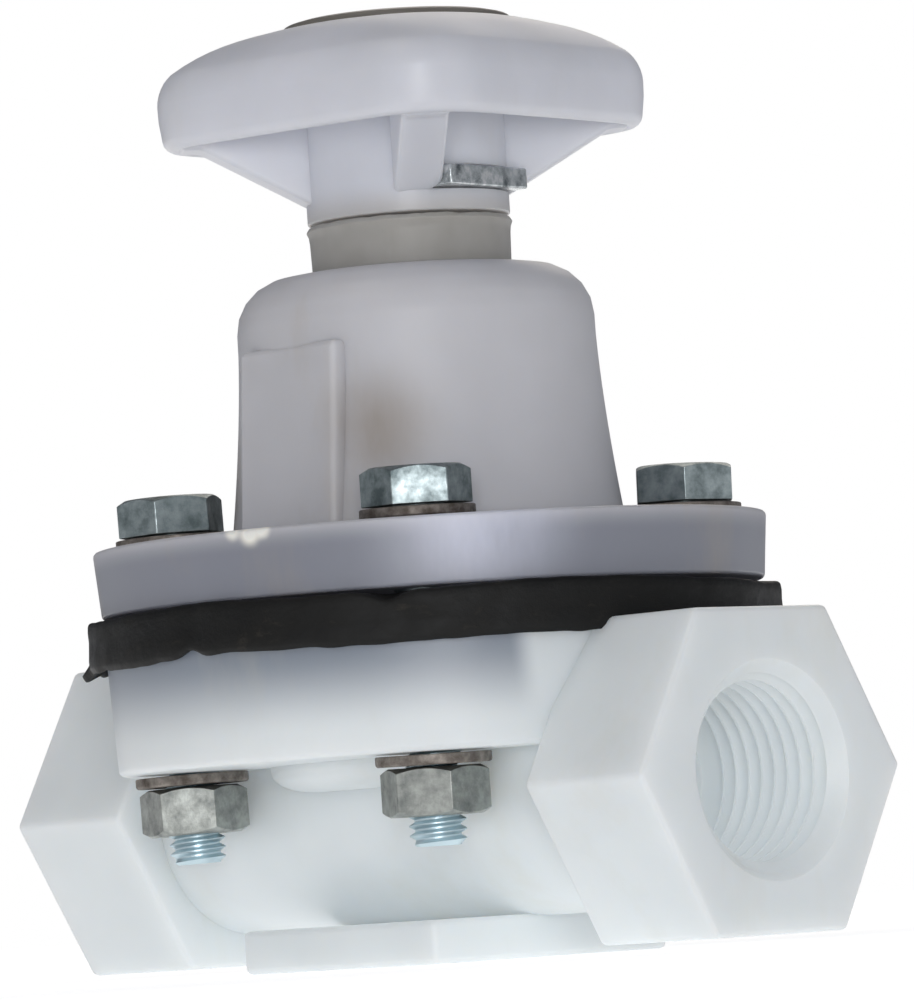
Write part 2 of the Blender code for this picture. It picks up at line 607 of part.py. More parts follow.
def build_lock_plate(finish):
    """Forked plate pushed through the hub over the spindle's flats."""
    start = -PLATE_WIDTH / 2
    end = HUB_RADIUS + PLATE_PROUD
    middle_height = PLATE_BOTTOM + PLATE_THICK / 2
    blank = box("wheel_lock_plate", (end - start, PLATE_WIDTH, PLATE_THICK),
                ((start + end) / 2, 0, middle_height))
    lock = add_object("wheel_lock_plate", blank, parts, finish)
    lock.parent = wheel_axis
    slot_start = start - 1 * MM
    slot_end = SPINDLE_RADIUS + CONTACT_GAP
    slot = box("fork_slot", (slot_end - slot_start, SPINDLE_FLATS + 2 * CONTACT_GAP, 3 * PLATE_THICK),
               ((slot_start + slot_end) / 2, 0, middle_height))
    cut(lock, wheel_tool(slot))


def build_cap(finish):
    """Push-in cap over the spindle's end, standing a little proud of the crown."""
    underside = CROWN - CAP_THICK
    edge = 0.5 * MM
    profile = [(0.0, CROWN), (CAP_RADIUS - 1.5 * MM, CROWN - 0.1 * MM), (CAP_RADIUS, CROWN - edge),
               (CAP_RADIUS, underside), (CAP_PLUG_RADIUS, underside),
               (CAP_PLUG_RADIUS, underside - CAP_PLUG_LENGTH), (0.0, underside - CAP_PLUG_LENGTH)]
    cap = turned("wheel_cap", profile, False, parts, finish, 40)
    cap.parent = wheel_axis


def hex_prism(name, height, bottom, turn):
    return cylinder(name, HEX_KEY / 2 / cos(pi / 6), height, (0, 0, bottom + height / 2), sides=6,
                    turn=turn)


def washer(name, bottom, finish):
    bore = BOLT_RADIUS + HOLE_GAP
    top = bottom + WASHER_THICK
    profile = [(bore, top), (WASHER_RADIUS, top), (WASHER_RADIUS, bottom), (bore, bottom)]
    return turned(name, profile, True, parts, finish, 20)


def bolt_axis(number, x, y, height):
    """Empty on a bolt's axis, leaning away from the valve's centre line at the top."""
    axis = bpy.data.objects.new(f"bolt_axis_{number}", None)
    parts.objects.link(axis)
    axis.rotation_mode = "QUATERNION"
    axis.rotation_quaternion = Quaternion(Vector((-y, x, 0)), BOLT_LEAN)
    axis.location = (x, y, height)
    return axis


def build_fasteners(bright, dull):
    """Four bolts through both flanges, each with a washer under its head and under its nut."""
    head_turns = (32.0, 20.0, 45.0, 8.0)
    nut_turns = (10.0, 2.5, 38.0, 24.0)
    middle = (BONNET_FLANGE_TOP + FLANGE_UNDERSIDE) / 2
    grip = (BONNET_FLANGE_TOP - FLANGE_UNDERSIDE) / 2 + CONTACT_GAP
    head_bottom = grip + WASHER_THICK + CONTACT_GAP
    nut_bottom = -head_bottom - NUT_HEIGHT
    shank_top = head_bottom + HEAD_HEIGHT / 2
    shank_length = shank_top - nut_bottom + BOLT_PROUD
    for index, (x, y) in enumerate(bolt_places()):
        number = index + 1
        head = hex_prism(f"bolt_{number}", HEAD_HEIGHT, head_bottom, radians(head_turns[index]))
        bolt = add_object(f"bolt_{number}", head, parts, bright)
        shank = tool(cylinder(f"shank_{number}", BOLT_RADIUS, shank_length,
                              (0, 0, shank_top - shank_length / 2), sides=18))
        join(bolt, shank)
        blank = hex_prism(f"nut_{number}", NUT_HEIGHT, nut_bottom, radians(nut_turns[index]))
        nut = add_object(f"nut_{number}", blank, parts, bright)
        bore = tool(cylinder(f"nut_bore_{number}", BOLT_RADIUS + RUNNING_GAP, NUT_HEIGHT + 2 * MM,
                             (0, 0, nut_bottom + NUT_HEIGHT / 2), sides=18))
        cut(nut, bore)
        upper = washer(f"head_washer_{number}", grip, dull)
        lower = washer(f"nut_washer_{number}", -grip - WASHER_THICK, dull)
        axis = bolt_axis(number, x, y, middle)
        for piece in (bolt, shank, nut, bore, upper, lower):
            piece.parent = axis


clear_scene()
parts = new_collection("diaphragm_valve")
tools = new_collection("cutters")
wheel_axis = bpy.data.objects.new("wheel_axis", None)
parts.objects.link(wheel_axis)
wheel_axis.rotation_euler.z = WHEEL_REST_ANGLE

polypropylene = material("natural_polypropylene", (0.72, 0.74, 0.76), 0.42)
bush_plastic = material("grey_white_polypropylene", (0.52, 0.51, 0.50), 0.5)
rubber = material("black_rubber", (0.02, 0.02, 0.022), 0.65)
zinc = material("zinc_plated_steel", (0.55, 0.60, 0.62), 0.38, 1.0)
dull_steel = material("weathered_washer_steel", (0.34, 0.30, 0.27), 0.6, 1.0)
spindle_steel = material("turned_spindle_steel", (0.60, 0.60, 0.60), 0.3, 1.0)

build_body(polypropylene)
build_diaphragm(rubber)
build_stud(zinc)
build_compressor(polypropylene)
build_swivel_nut(spindle_steel)
build_spindle(spindle_steel)
build_bonnet(polypropylene)
build_bush(bush_plastic)
build_handwheel(polypropylene)
build_lock_plate(zinc)
build_cap(polypropylene)
build_fasteners(zinc, dull_steel)
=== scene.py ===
import bpy
import bmesh
from math import cos, degrees, exp, pi, radians, sin, sqrt, tan
from mathutils import Matrix, Quaternion, Vector, noise


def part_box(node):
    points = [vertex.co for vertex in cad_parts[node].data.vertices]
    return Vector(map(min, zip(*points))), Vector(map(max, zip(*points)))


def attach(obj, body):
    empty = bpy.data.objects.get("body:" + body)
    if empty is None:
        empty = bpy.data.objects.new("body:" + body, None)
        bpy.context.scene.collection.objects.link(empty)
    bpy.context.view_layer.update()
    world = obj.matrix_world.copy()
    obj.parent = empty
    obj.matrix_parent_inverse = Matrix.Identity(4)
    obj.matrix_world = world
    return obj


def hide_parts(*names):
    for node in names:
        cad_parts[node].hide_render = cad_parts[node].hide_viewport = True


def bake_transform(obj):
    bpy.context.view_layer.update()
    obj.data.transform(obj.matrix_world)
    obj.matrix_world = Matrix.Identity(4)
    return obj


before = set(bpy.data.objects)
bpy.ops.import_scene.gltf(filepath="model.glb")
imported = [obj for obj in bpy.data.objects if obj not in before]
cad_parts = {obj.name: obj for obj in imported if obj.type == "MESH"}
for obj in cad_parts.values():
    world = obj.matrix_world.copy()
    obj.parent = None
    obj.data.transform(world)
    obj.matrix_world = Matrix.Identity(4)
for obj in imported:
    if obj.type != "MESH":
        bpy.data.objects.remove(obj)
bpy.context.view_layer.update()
mm = 0.001
mergeWidth = 0.002 * mm  # points closer than this are one
print("frame loaded:", len(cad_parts), "CAD nodes")


# places taken from the CAD model, in millimetres

def heights(nodeName):
    low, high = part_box(nodeName)
    return low.z / mm, high.z / mm


bodyFace = heights("valve_body")[1]
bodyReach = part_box("valve_body")[1].x / mm
rubberTop = heights("diaphragm")[1]
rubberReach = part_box("diaphragm")[1].y / mm
bonnetFace, bonnetTop = heights("bonnet")
bushTop = heights("bonnet_bush")[1]
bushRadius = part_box("bonnet_bush")[1].x / mm
spindleLow, spindleTop = heights("spindle")
hubFoot = heights("handwheel")[0]
crown = heights("wheel_cap")[1]


# modelling helpers

def wireProfile(corners, closed=False):
    # corners are (radius, height, rounding) in millimetres; a rounding of 0 stays sharp
    bm = bmesh.new()
    points = [bm.verts.new((radius * mm, 0, height * mm)) for radius, height, rounding in corners]
    pairs = list(zip(points, points[1:])) + ([(points[-1], points[0])] if closed else [])
    for first, second in pairs:
        bm.edges.new((first, second))
    for point, (radius, height, rounding) in zip(points, corners):
        if rounding:
            bmesh.ops.bevel(bm, geom=[point], offset=rounding * mm, offset_type="OFFSET",
                            affect="VERTICES", segments=5 if rounding > 1 else 3, profile=0.5,
                            material=-1)
    return bm


def turned(corners, closed=False, steps=96):
    # a full turn of a profile about Z
    bm = wireProfile(corners, closed)
    bmesh.ops.spin(bm, geom=bm.verts[:] + bm.edges[:], cent=(0, 0, 0), axis=(0, 0, 1),
                   angle=2 * pi, steps=steps, use_merge=True)
    bmesh.ops.remove_doubles(bm, verts=bm.verts, dist=mergeWidth)
    bmesh.ops.recalc_face_normals(bm, faces=bm.faces)
    return bm


def prism(sides, radius, length, centre, axis="Z", turn=0.0, edge=0.0, endRadius=None):
    # a cylinder, cone or prism, its edges rounded by edge
    bm = bmesh.new()
    bmesh.ops.create_cone(bm, cap_ends=True, segments=sides, radius1=radius * mm,
                          radius2=(radius if endRadius is None else endRadius) * mm, depth=length * mm)
    bmesh.ops.rotate(bm, verts=bm.verts, matrix=Matrix.Rotation(turn, 3, "Z"))
    if axis == "X":
        bmesh.ops.rotate(bm, verts=bm.verts, matrix=Matrix.Rotation(pi / 2, 3, "Y"))
    bmesh.ops.translate(bm, verts=bm.verts, vec=Vector(centre) * mm)
    if edge:
        roundEdges(bm, edge)
    return bm


def block(size, centre, edge=0.0):
    bm = bmesh.new()
    bmesh.ops.create_cube(bm, size=1.0)
    bmesh.ops.scale(bm, verts=bm.verts, vec=Vector(size) * mm)
    bmesh.ops.translate(bm, verts=bm.verts, vec=Vector(centre) * mm)
    if edge:
        roundEdges(bm, edge)
    return bm


def slab(outline, thickness, turn, edge):
    # a plate standing on a radius, from an outline of (radius, height) points
    bm = bmesh.new()
    loop = [bm.verts.new((radius * mm, -thickness / 2 * mm, height * mm)) for radius, height in outline]
    grown = bmesh.ops.extrude_face_region(bm, geom=[bm.faces.new(loop)])["geom"]
    moved = [item for item in grown if isinstance(item, bmesh.types.BMVert)]
    bmesh.ops.translate(bm, verts=moved, vec=(0, thickness * mm, 0))
    bmesh.ops.recalc_face_normals(bm, faces=bm.faces)
    roundEdges(bm, edge)
    bmesh.ops.rotate(bm, verts=bm.verts, matrix=Matrix.Rotation(turn, 3, "Z"))
    return bm


def roundEdges(bm, edge, segments=3):
    sharp = [item for item in bm.edges if item.is_manifold and item.calc_face_angle() > radians(25)]
    bmesh.ops.bevel(bm, geom=sharp, offset=edge * mm, offset_type="OFFSET", affect="EDGES",
                    segments=segments, profile=0.5, material=-1)


def threadRod(thread, low, high, steps=40):
    # a solid rod with a right-hand thread on it, from low to high
    pitch, root, crest = thread["pitch"], thread["root"], thread["crest"]
    rootFlat, crestFlat = thread["rootFlat"] * pitch / 2, thread["crestFlat"] * pitch / 2
    bm = bmesh.new()
    path = [(root, 0), (root, rootFlat), (crest, pitch / 2 - crestFlat), (crest, pitch / 2 + crestFlat),
            (root, pitch - rootFlat), (root, pitch)]
    points = [bm.verts.new((radius * mm, 0, (low - 2 * pitch + height) * mm)) for radius, height in path]
    for first, second in zip(points, points[1:]):
        bm.edges.new((first, second))
    turns = int((high - low) / pitch) + 4  # two spare turns are cut off at each end
    bmesh.ops.spin(bm, geom=bm.verts[:] + bm.edges[:], cent=(0, 0, 0), axis=(0, 0, 1),
                   dvec=(0, 0, pitch * mm / steps), angle=2 * pi * turns, steps=steps * turns)
    bmesh.ops.remove_doubles(bm, verts=bm.verts, dist=mergeWidth)
    for height, direction in ((low, 1), (high, -1)):
        geometry = bm.verts[:] + bm.edges[:] + bm.faces[:]
        bmesh.ops.bisect_plane(bm, geom=geometry, dist=0.0001 * mm, plane_co=(0, 0, height * mm),
                               plane_no=(0, 0, direction), clear_inner=True)
    bmesh.ops.holes_fill(bm, edges=[item for item in bm.edges if item.is_boundary], sides=0)
    chamfer = thread.get("endChamfer", 0)
    for vert in bm.verts:  # a cone at each end brings the crests down to the root
        reach = min(vert.co.z / mm - low, high - vert.co.z / mm)
        limit = (root - 0.1 + reach / tan(radians(45))) * mm
        if chamfer and vert.co.xy.length > limit:
            vert.co.xy *= limit / vert.co.xy.length
    bmesh.ops.recalc_face_normals(bm, faces=bm.faces)
    return bm


def loose(bm, name="shape"):
    mesh = bpy.data.meshes.new(name)
    bm.to_mesh(mesh)
    bm.free()
    made = bpy.data.objects.new(name, mesh)
    bpy.context.scene.collection.objects.link(made)
    return made


def combine(base, shapes, operation):
    # joins shapes to base, cuts them from it or keeps what they share, then clears them away
    helpers = [loose(shape) if isinstance(shape, bmesh.types.BMesh) else shape for shape in shapes]
    for helper in helpers:
        step = base.modifiers.new("step", "BOOLEAN")
        step.operation, step.solver, step.object = operation, "EXACT", helper
    graph = bpy.context.evaluated_depsgraph_get()
    result = bpy.data.meshes.new_from_object(base.evaluated_get(graph))
    base.modifiers.clear()
    base.data = result
    for helper in helpers:
        bpy.data.objects.remove(helper)
    return base


def finishPiece(piece, name, body, finish, standsFor=(), smoothAngle=38, weighted=True):
    # shades, names and paints a piece, and puts it on its body
    piece.name = name
    mesh = piece.data
    mesh.name = name
    mesh.materials.clear()
    mesh.materials.append(finish)
    mesh.shade_smooth()
    mesh.set_sharp_from_angle(angle=radians(smoothAngle))
    if weighted:
        normals = piece.modifiers.new("evenShading", "WEIGHTED_NORMAL")
        normals.keep_sharp = True
    if body:
        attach(piece, body)
    if standsFor:
        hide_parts(*standsFor)
    return piece


# materials

def linear(hexColour, alpha=1.0):
    parts = [int(hexColour[i:i + 2], 16) / 255 for i in (1, 3, 5)]
    return (*[c / 12.92 if c <= 0.04045 else ((c + 0.055) / 1.055) ** 2.4 for c in parts], alpha)


def addNode(tree, kind, settings=None, inputs=None):
    made = tree.nodes.new(kind)
    for name, value in (settings or {}).items():
        setattr(made, name, value)
    for name, value in (inputs or {}).items():
        if isinstance(value, bpy.types.NodeSocket):
            tree.links.new(value, made.inputs[name])
        else:
            made.inputs[name].default_value = value
    return made


def setRamp(ramp, stops):
    elements = ramp.color_ramp.elements
    while len(elements) < len(stops):
        elements.new(0.5)
    for element, (place, colour) in zip(elements, stops):
        element.position = place
        element.color = colour if isinstance(colour, tuple) else (colour, colour, colour, 1)


def startMaterial(name):
    made = bpy.data.materials.new(name)
    made.use_nodes = True
    tree = made.node_tree
    shader = tree.nodes["Principled BSDF"]
    place = addNode(tree, "ShaderNodeTexCoord").outputs["Object"]
    return made, tree, shader, place


def polypropylene(name, look):
    # natural polypropylene, injection moulded: milky and waxy, light sinks in a little, satin skin
    made, tree, shader, place = startMaterial(name)
    clouds = addNode(tree, "ShaderNodeTexNoise", inputs={
        "Vector": place, "Scale": 1 / (look["cloudSize"] * mm), "Detail": 3.0, "Roughness": 0.55})
    tone = addNode(tree, "ShaderNodeValToRGB", inputs={"Fac": clouds.outputs["Fac"]})
    setRamp(tone, [(0.30, linear(look["shade"])), (0.68, linear(look["colour"]))])
    colour = tone.outputs["Color"]
    if "paintedShadeBand" in look:  # painted shade: a darker end, standing in for the shade that falls there and for dark parts seen dimly through the plastic
        parts = addNode(tree, "ShaderNodeSeparateXYZ", inputs={"Vector": place}).outputs
        near, far = look["paintedShadeBand"]["heights"]
        fade = addNode(tree, "ShaderNodeMapRange", {"interpolation_type": "SMOOTHSTEP"}, {
            "Value": parts["Z"], "From Min": far * mm, "From Max": near * mm})
        reach = addNode(tree, "ShaderNodeMath", {"operation": "ABSOLUTE"}, {0: parts["X"]})
        inside = addNode(tree, "ShaderNodeMapRange", {"interpolation_type": "SMOOTHSTEP"}, {
            "Value": reach.outputs[0], "From Min": (look["paintedShadeBand"]["reach"] + 1.5) * mm,
            "From Max": look["paintedShadeBand"]["reach"] * mm})
        share = addNode(tree, "ShaderNodeMath", {"operation": "MULTIPLY"}, {
            0: fade.outputs[0], 1: inside.outputs[0]})
        colour = addNode(tree, "ShaderNodeMix", {"data_type": "RGBA"}, {
            0: share.outputs[0], 6: colour, 7: linear(look["paintedShadeBand"]["colour"])}).outputs[2]
    stains = addNode(tree, "ShaderNodeTexNoise", inputs={
        "Vector": addNode(tree, "ShaderNodeMapping", inputs={
            "Vector": place, "Scale": (1, 1, 0.35)}).outputs[0],
        "Scale": 1 / (look["stainSize"] * mm), "Detail": 5.0, "Roughness": 0.65})
    where = addNode(tree, "ShaderNodeValToRGB", inputs={"Fac": stains.outputs["Fac"]})
    setRamp(where, [(0.56, 0.0), (0.80, look["stainAmount"])])
    colour = addNode(tree, "ShaderNodeMix", {"data_type": "RGBA"}, {
        0: where.outputs["Color"], 6: colour, 7: linear(look["stain"])}).outputs[2]
    for centre, size, strength, markColour in look.get("marks", []):  # handling smears and nicks, and a painted highlight
        away = addNode(tree, "ShaderNodeVectorMath", {"operation": "DISTANCE"}, {
            0: place, 1: Vector(centre) * mm})
        fade = addNode(tree, "ShaderNodeMapRange", {"interpolation_type": "SMOOTHERSTEP"}, {
            "Value": away.outputs["Value"], "From Min": size * mm, "From Max": 0.0, "To Max": strength})
        patch = addNode(tree, "ShaderNodeMath", {"operation": "MULTIPLY"}, {
            0: fade.outputs[0], 1: stains.outputs["Fac"]})
        colour = addNode(tree, "ShaderNodeMix", {"data_type": "RGBA"}, {
            0: patch.outputs[0], 6: colour, 7: linear(markColour)}).outputs[2]
    tree.links.new(colour, shader.inputs["Base Color"])
    tree.links.new(colour, shader.inputs["Emission Color"])
    sheen = addNode(tree, "ShaderNodeMapRange", inputs={
        "Value": clouds.outputs["Fac"], "From Min": 0.3, "From Max": 0.7,
        "To Min": look["gloss"] - 0.05, "To Max": look["gloss"] + 0.06})
    tree.links.new(sheen.outputs[0], shader.inputs["Roughness"])
    grain = addNode(tree, "ShaderNodeTexNoise", inputs={  # ripple of a plain mould, about 1 mm apart
        "Vector": place, "Scale": 1 / (0.9 * mm), "Detail": 4.0, "Roughness": 0.6})
    bump = addNode(tree, "ShaderNodeBump", inputs={
        "Height": grain.outputs["Fac"], "Strength": look["ripple"], "Distance": 0.06 * mm})
    tree.links.new(bump.outputs["Normal"], shader.inputs["Normal"])
    shader.inputs["IOR"].default_value = 1.49
    shader.inputs["Subsurface Weight"].default_value = look["depth"]
    shader.inputs["Subsurface Radius"].default_value = (1.0, 0.9, 0.8)
    shader.inputs["Subsurface Scale"].default_value = look["sink"] * mm
    shader.inputs["Emission Strength"].default_value = look["paintedGlow"]  # painted glow: an emission in the plastic's own colour, standing in for light led through from all sides
    return made


def platedSteel(name, look):
    # cold-formed steel, zinc plated: pale blue-grey metal with cloudy passivation and fine draw marks
    made, tree, shader, place = startMaterial(name)
    clouds = addNode(tree, "ShaderNodeTexNoise", inputs={
        "Vector": place, "Scale": 1 / (look["cloudSize"] * mm), "Detail": 5.0, "Roughness": 0.65})
    tone = addNode(tree, "ShaderNodeValToRGB", inputs={"Fac": clouds.outputs["Fac"]})
    setRamp(tone, [(0.33, linear(look["shade"])), (0.52, linear(look["colour"])),
                   (0.72, linear(look["bright"]))])
    colour = tone.outputs["Color"]
    if "threadColourAndHighlight" in look:  # the rolled thread below the nut, never touched by a spanner, is brighter: partly fresher zinc and partly painted light for the brightness it reflects
        parts = addNode(tree, "ShaderNodeSeparateXYZ", inputs={"Vector": place}).outputs
        share = addNode(tree, "ShaderNodeMapRange", inputs={
            "Value": parts["Z"], "From Min": 24 * mm, "From Max": 20 * mm})
        colour = addNode(tree, "ShaderNodeMix", {"data_type": "RGBA"}, {
            0: share.outputs[0], 6: colour, 7: linear(look["threadColourAndHighlight"])}).outputs[2]
    tree.links.new(colour, shader.inputs["Base Color"])
    marks = addNode(tree, "ShaderNodeTexNoise", inputs={
        "Vector": place, "Scale": 1 / (0.35 * mm), "Detail": 3.0, "Roughness": 0.7})
    wear = addNode(tree, "ShaderNodeMapRange", inputs={
        "Value": clouds.outputs["Fac"], "From Min": 0.35, "From Max": 0.65,
        "To Min": look["roughness"] + 0.10, "To Max": look["roughness"] - 0.08})
    tree.links.new(wear.outputs[0], shader.inputs["Roughness"])
    bump = addNode(tree, "ShaderNodeBump", inputs={
        "Height": marks.outputs["Fac"], "Strength": look["marks"], "Distance": 0.05 * mm})
    tree.links.new(bump.outputs["Normal"], shader.inputs["Normal"])
    shader.inputs["Metallic"].default_value = look["metal"]
    return made


def vulcanisedRubber(name, look):
    # black moulded rubber sheet, knife trimmed: near-black, half matt, dusty brown smears and nicks
    made, tree, shader, place = startMaterial(name)
    dust = addNode(tree, "ShaderNodeTexNoise", inputs={
        "Vector": addNode(tree, "ShaderNodeMapping", inputs={
            "Vector": place, "Scale": (1, 1, 2.2)}).outputs[0],
        "Scale": 1 / (look["dustSize"] * mm), "Detail": 6.0, "Roughness": 0.7})
    tone = addNode(tree, "ShaderNodeValToRGB", inputs={"Fac": dust.outputs["Fac"]})
    setRamp(tone, [(0.35, linear(look["colour"])), (0.60, linear(look["worn"])),
                   (0.78, linear(look["dust"]))])
    tree.links.new(tone.outputs["Color"], shader.inputs["Base Color"])
    matt = addNode(tree, "ShaderNodeMapRange", inputs={
        "Value": dust.outputs["Fac"], "From Min": 0.35, "From Max": 0.7,
        "To Min": look["roughness"] - 0.08, "To Max": look["roughness"] + 0.15})
    tree.links.new(matt.outputs[0], shader.inputs["Roughness"])
    scuffs = addNode(tree, "ShaderNodeTexNoise", inputs={
        "Vector": place, "Scale": 1 / (1.1 * mm), "Detail": 6.0, "Roughness": 0.72})
    bump = addNode(tree, "ShaderNodeBump", inputs={
        "Height": scuffs.outputs["Fac"], "Strength": 0.55, "Distance": 0.18 * mm})
    tree.links.new(bump.outputs["Normal"], shader.inputs["Normal"])
    shader.inputs["IOR"].default_value = 1.52
    shader.inputs["Specular IOR Level"].default_value = 0.24
    return made


bodyPlastic = polypropylene("naturalPolypropyleneBody", {
    "colour": "#E2E7E9", "shade": "#D9DEE0", "stain": "#CFCBB8", "stainAmount": 0.25, "gloss": 0.36,
    "cloudSize": 26, "stainSize": 14, "ripple": 0.12, "depth": 1.0, "sink": 5.5, "paintedGlow": 0.14,
    # painted shade: the flange is darkened for its shade and for the dark rubber showing dimly through it
    "paintedShadeBand": {"heights": (33.0, 24.0), "reach": 29.5, "colour": "#8A929E"}})
bonnetPlastic = polypropylene("naturalPolypropyleneBonnet", {
    "colour": "#D3D3D8", "shade": "#C6C6CA", "stain": "#B4A58C", "stainAmount": 0.30, "gloss": 0.42,
    "cloudSize": 24, "stainSize": 16, "ripple": 0.12, "depth": 0.8, "sink": 3.0, "paintedGlow": 0.03,
    "marks": [  # centre, size, strength and colour: two smears, a scraped edge, and a painted highlight, a paler patch where light falls on the flange's front
        ((11.5, -16.9, 56.0), 9.0, 0.9, "#8C7B66"), ((-14.0, -15.0, 52.0), 9.0, 0.9, "#A39783"),
        ((7.2, -34.9, bonnetFace + 7.0), 1.5, 2.2, "#FFFCF0"),
        ((9.2, -34.5, bonnetFace + 6.6), 1.9, 2.2, "#FFFCF0"),
        ((10.6, -34.1, bonnetFace + 6.9), 1.5, 2.2, "#FFFCF0"),
        # painted highlight: a paler patch for the light on the flange's front
        ((28.7, -21.2, 46.0), 15.0, 1.5, "#D6D9E8")],
    # painted shade: the flange's lower part is darkened for its shade, falling off towards the sides, and for
    # the rubber below
    "paintedShadeBand": {"heights": (43.0, 47.0), "reach": 60.0, "colour": "#8B8E99"}})
wheelPlastic = polypropylene("naturalPolypropyleneHandwheel", {
    "colour": "#D8DAE2", "shade": "#CDCFD6", "stain": "#B9B2A4", "stainAmount": 0.18, "gloss": 0.40,
    "cloudSize": 20, "stainSize": 12, "ripple": 0.12, "depth": 0.9, "sink": 4.0, "paintedGlow": 0.08,
    # painted shade: the hub below the rim is darkened for the shade under the wheel, and given a beige tone
    "paintedShadeBand": {"heights": (78.0, 82.5), "reach": 60.0, "colour": "#BCB9B7"}})
bushPlastic = polypropylene("greyWhitePolypropyleneBush", {
    "colour": "#B2B0AC", "shade": "#A19E98", "stain": "#857C6E", "stainAmount": 0.35, "gloss": 0.48,
    "cloudSize": 9, "stainSize": 7, "ripple": 0.25, "depth": 0.4, "sink": 2.0, "paintedGlow": 0.0})
# painted shade: the cap's dark grey-brown is partly its own tone and partly the shade seen on its narrow top
# edge
capPlastic = polypropylene("naturalPolypropyleneCap", {
    "colour": "#827E77", "shade": "#75716A", "stain": "#676056", "stainAmount": 0.35, "gloss": 0.42,
    "cloudSize": 12, "stainSize": 8, "ripple": 0.12, "depth": 0.4, "sink": 2.0, "paintedGlow": 0.0})
boltZinc = platedSteel("zincPlatedBoltSteel", {
    "colour": "#8A9597", "shade": "#5E6A6C", "bright": "#A8B2B4", "roughness": 0.38, "cloudSize": 2.6,
    "marks": 0.35, "metal": 0.9, "threadColourAndHighlight": "#C3D5DC"})
nutZinc = platedSteel("dullZincNutSteel", {
    "colour": "#9A9D99", "shade": "#7C807E", "bright": "#B2B6B2", "roughness": 0.46, "cloudSize": 2.2,
    "marks": 0.5, "metal": 0.85})
plateZinc = platedSteel("brightZincPlateSteel", {
    "colour": "#BFC5C7", "shade": "#5A6165", "bright": "#FFFFFF", "roughness": 0.22, "cloudSize": 1.6,
    "marks": 0.6, "metal": 0.6})
washerSteel = platedSteel("weatheredWasherSteel", {
    "colour": "#857E78", "shade": "#5F5750", "bright": "#A39C94", "roughness": 0.58, "cloudSize": 1.8,
    "marks": 0.7, "metal": 0.8})
spindleSteel = platedSteel("turnedSpindleSteel", {
    "colour": "#B9B9B7", "shade": "#8F8F8C", "bright": "#D6D6D4", "roughness": 0.30, "cloudSize": 3.5,
    "marks": 0.3, "metal": 1.0})
blackRubber = vulcanisedRubber("blackVulcanisedRubber", {
    "colour": "#08090A", "worn": "#121211", "dust": "#35322D", "roughness": 0.55, "dustSize": 6})
print("materials made")


# body: two hexagon ends, barrel, bowl, round flange and foot, threaded and bored

body = {
    "hexFlats": 33.3, "hexLength": 16.6, "hexEdge": 0.55, "footDrop": 0.85,
    "foot": (29.2, 34.4, 4.6), "footEdge": 0.7, "barrelRadius": 13.2,
    "flangeRadius": 35.0, "flangeThick": 12.45, "flangeDraft": 0.6, "flangeEdge": 0.6,
    "bowlRadius": 14.8, "bowlWall": 3.6, "bowlDepth": 12.2, "bulgeDepth": 3.0,
    "bulgeRounding": (5.0, 2.6), "wellRadius": 9.8, "weirThick": 4.6, "seatRadius": 19.2,
    "seatDepth": 6.65, "portRadius": 6.5, "threadLength": 16.2, "mouthRadius": 11.3,
}
pipeThread = {"pitch": 1.814, "root": 9.32, "crest": 10.48, "rootFlat": 0.17, "crestFlat": 0.17}
flowAxis = body["footDrop"] + body["hexFlats"] / 2
hexInner = bodyReach - body["hexLength"]
flangeUnderside = bodyFace - body["flangeThick"]
seatCentre = bodyFace - body["seatDepth"] + body["seatRadius"]


def alongX(bm, side):
    # lays a shape made about Z along the flow axis, its top end outwards
    bmesh.ops.rotate(bm, verts=bm.verts, matrix=Matrix.Rotation(side * pi / 2, 3, "Y"))
    bmesh.ops.translate(bm, verts=bm.verts, vec=(0, 0, flowAxis * mm))
    return bm


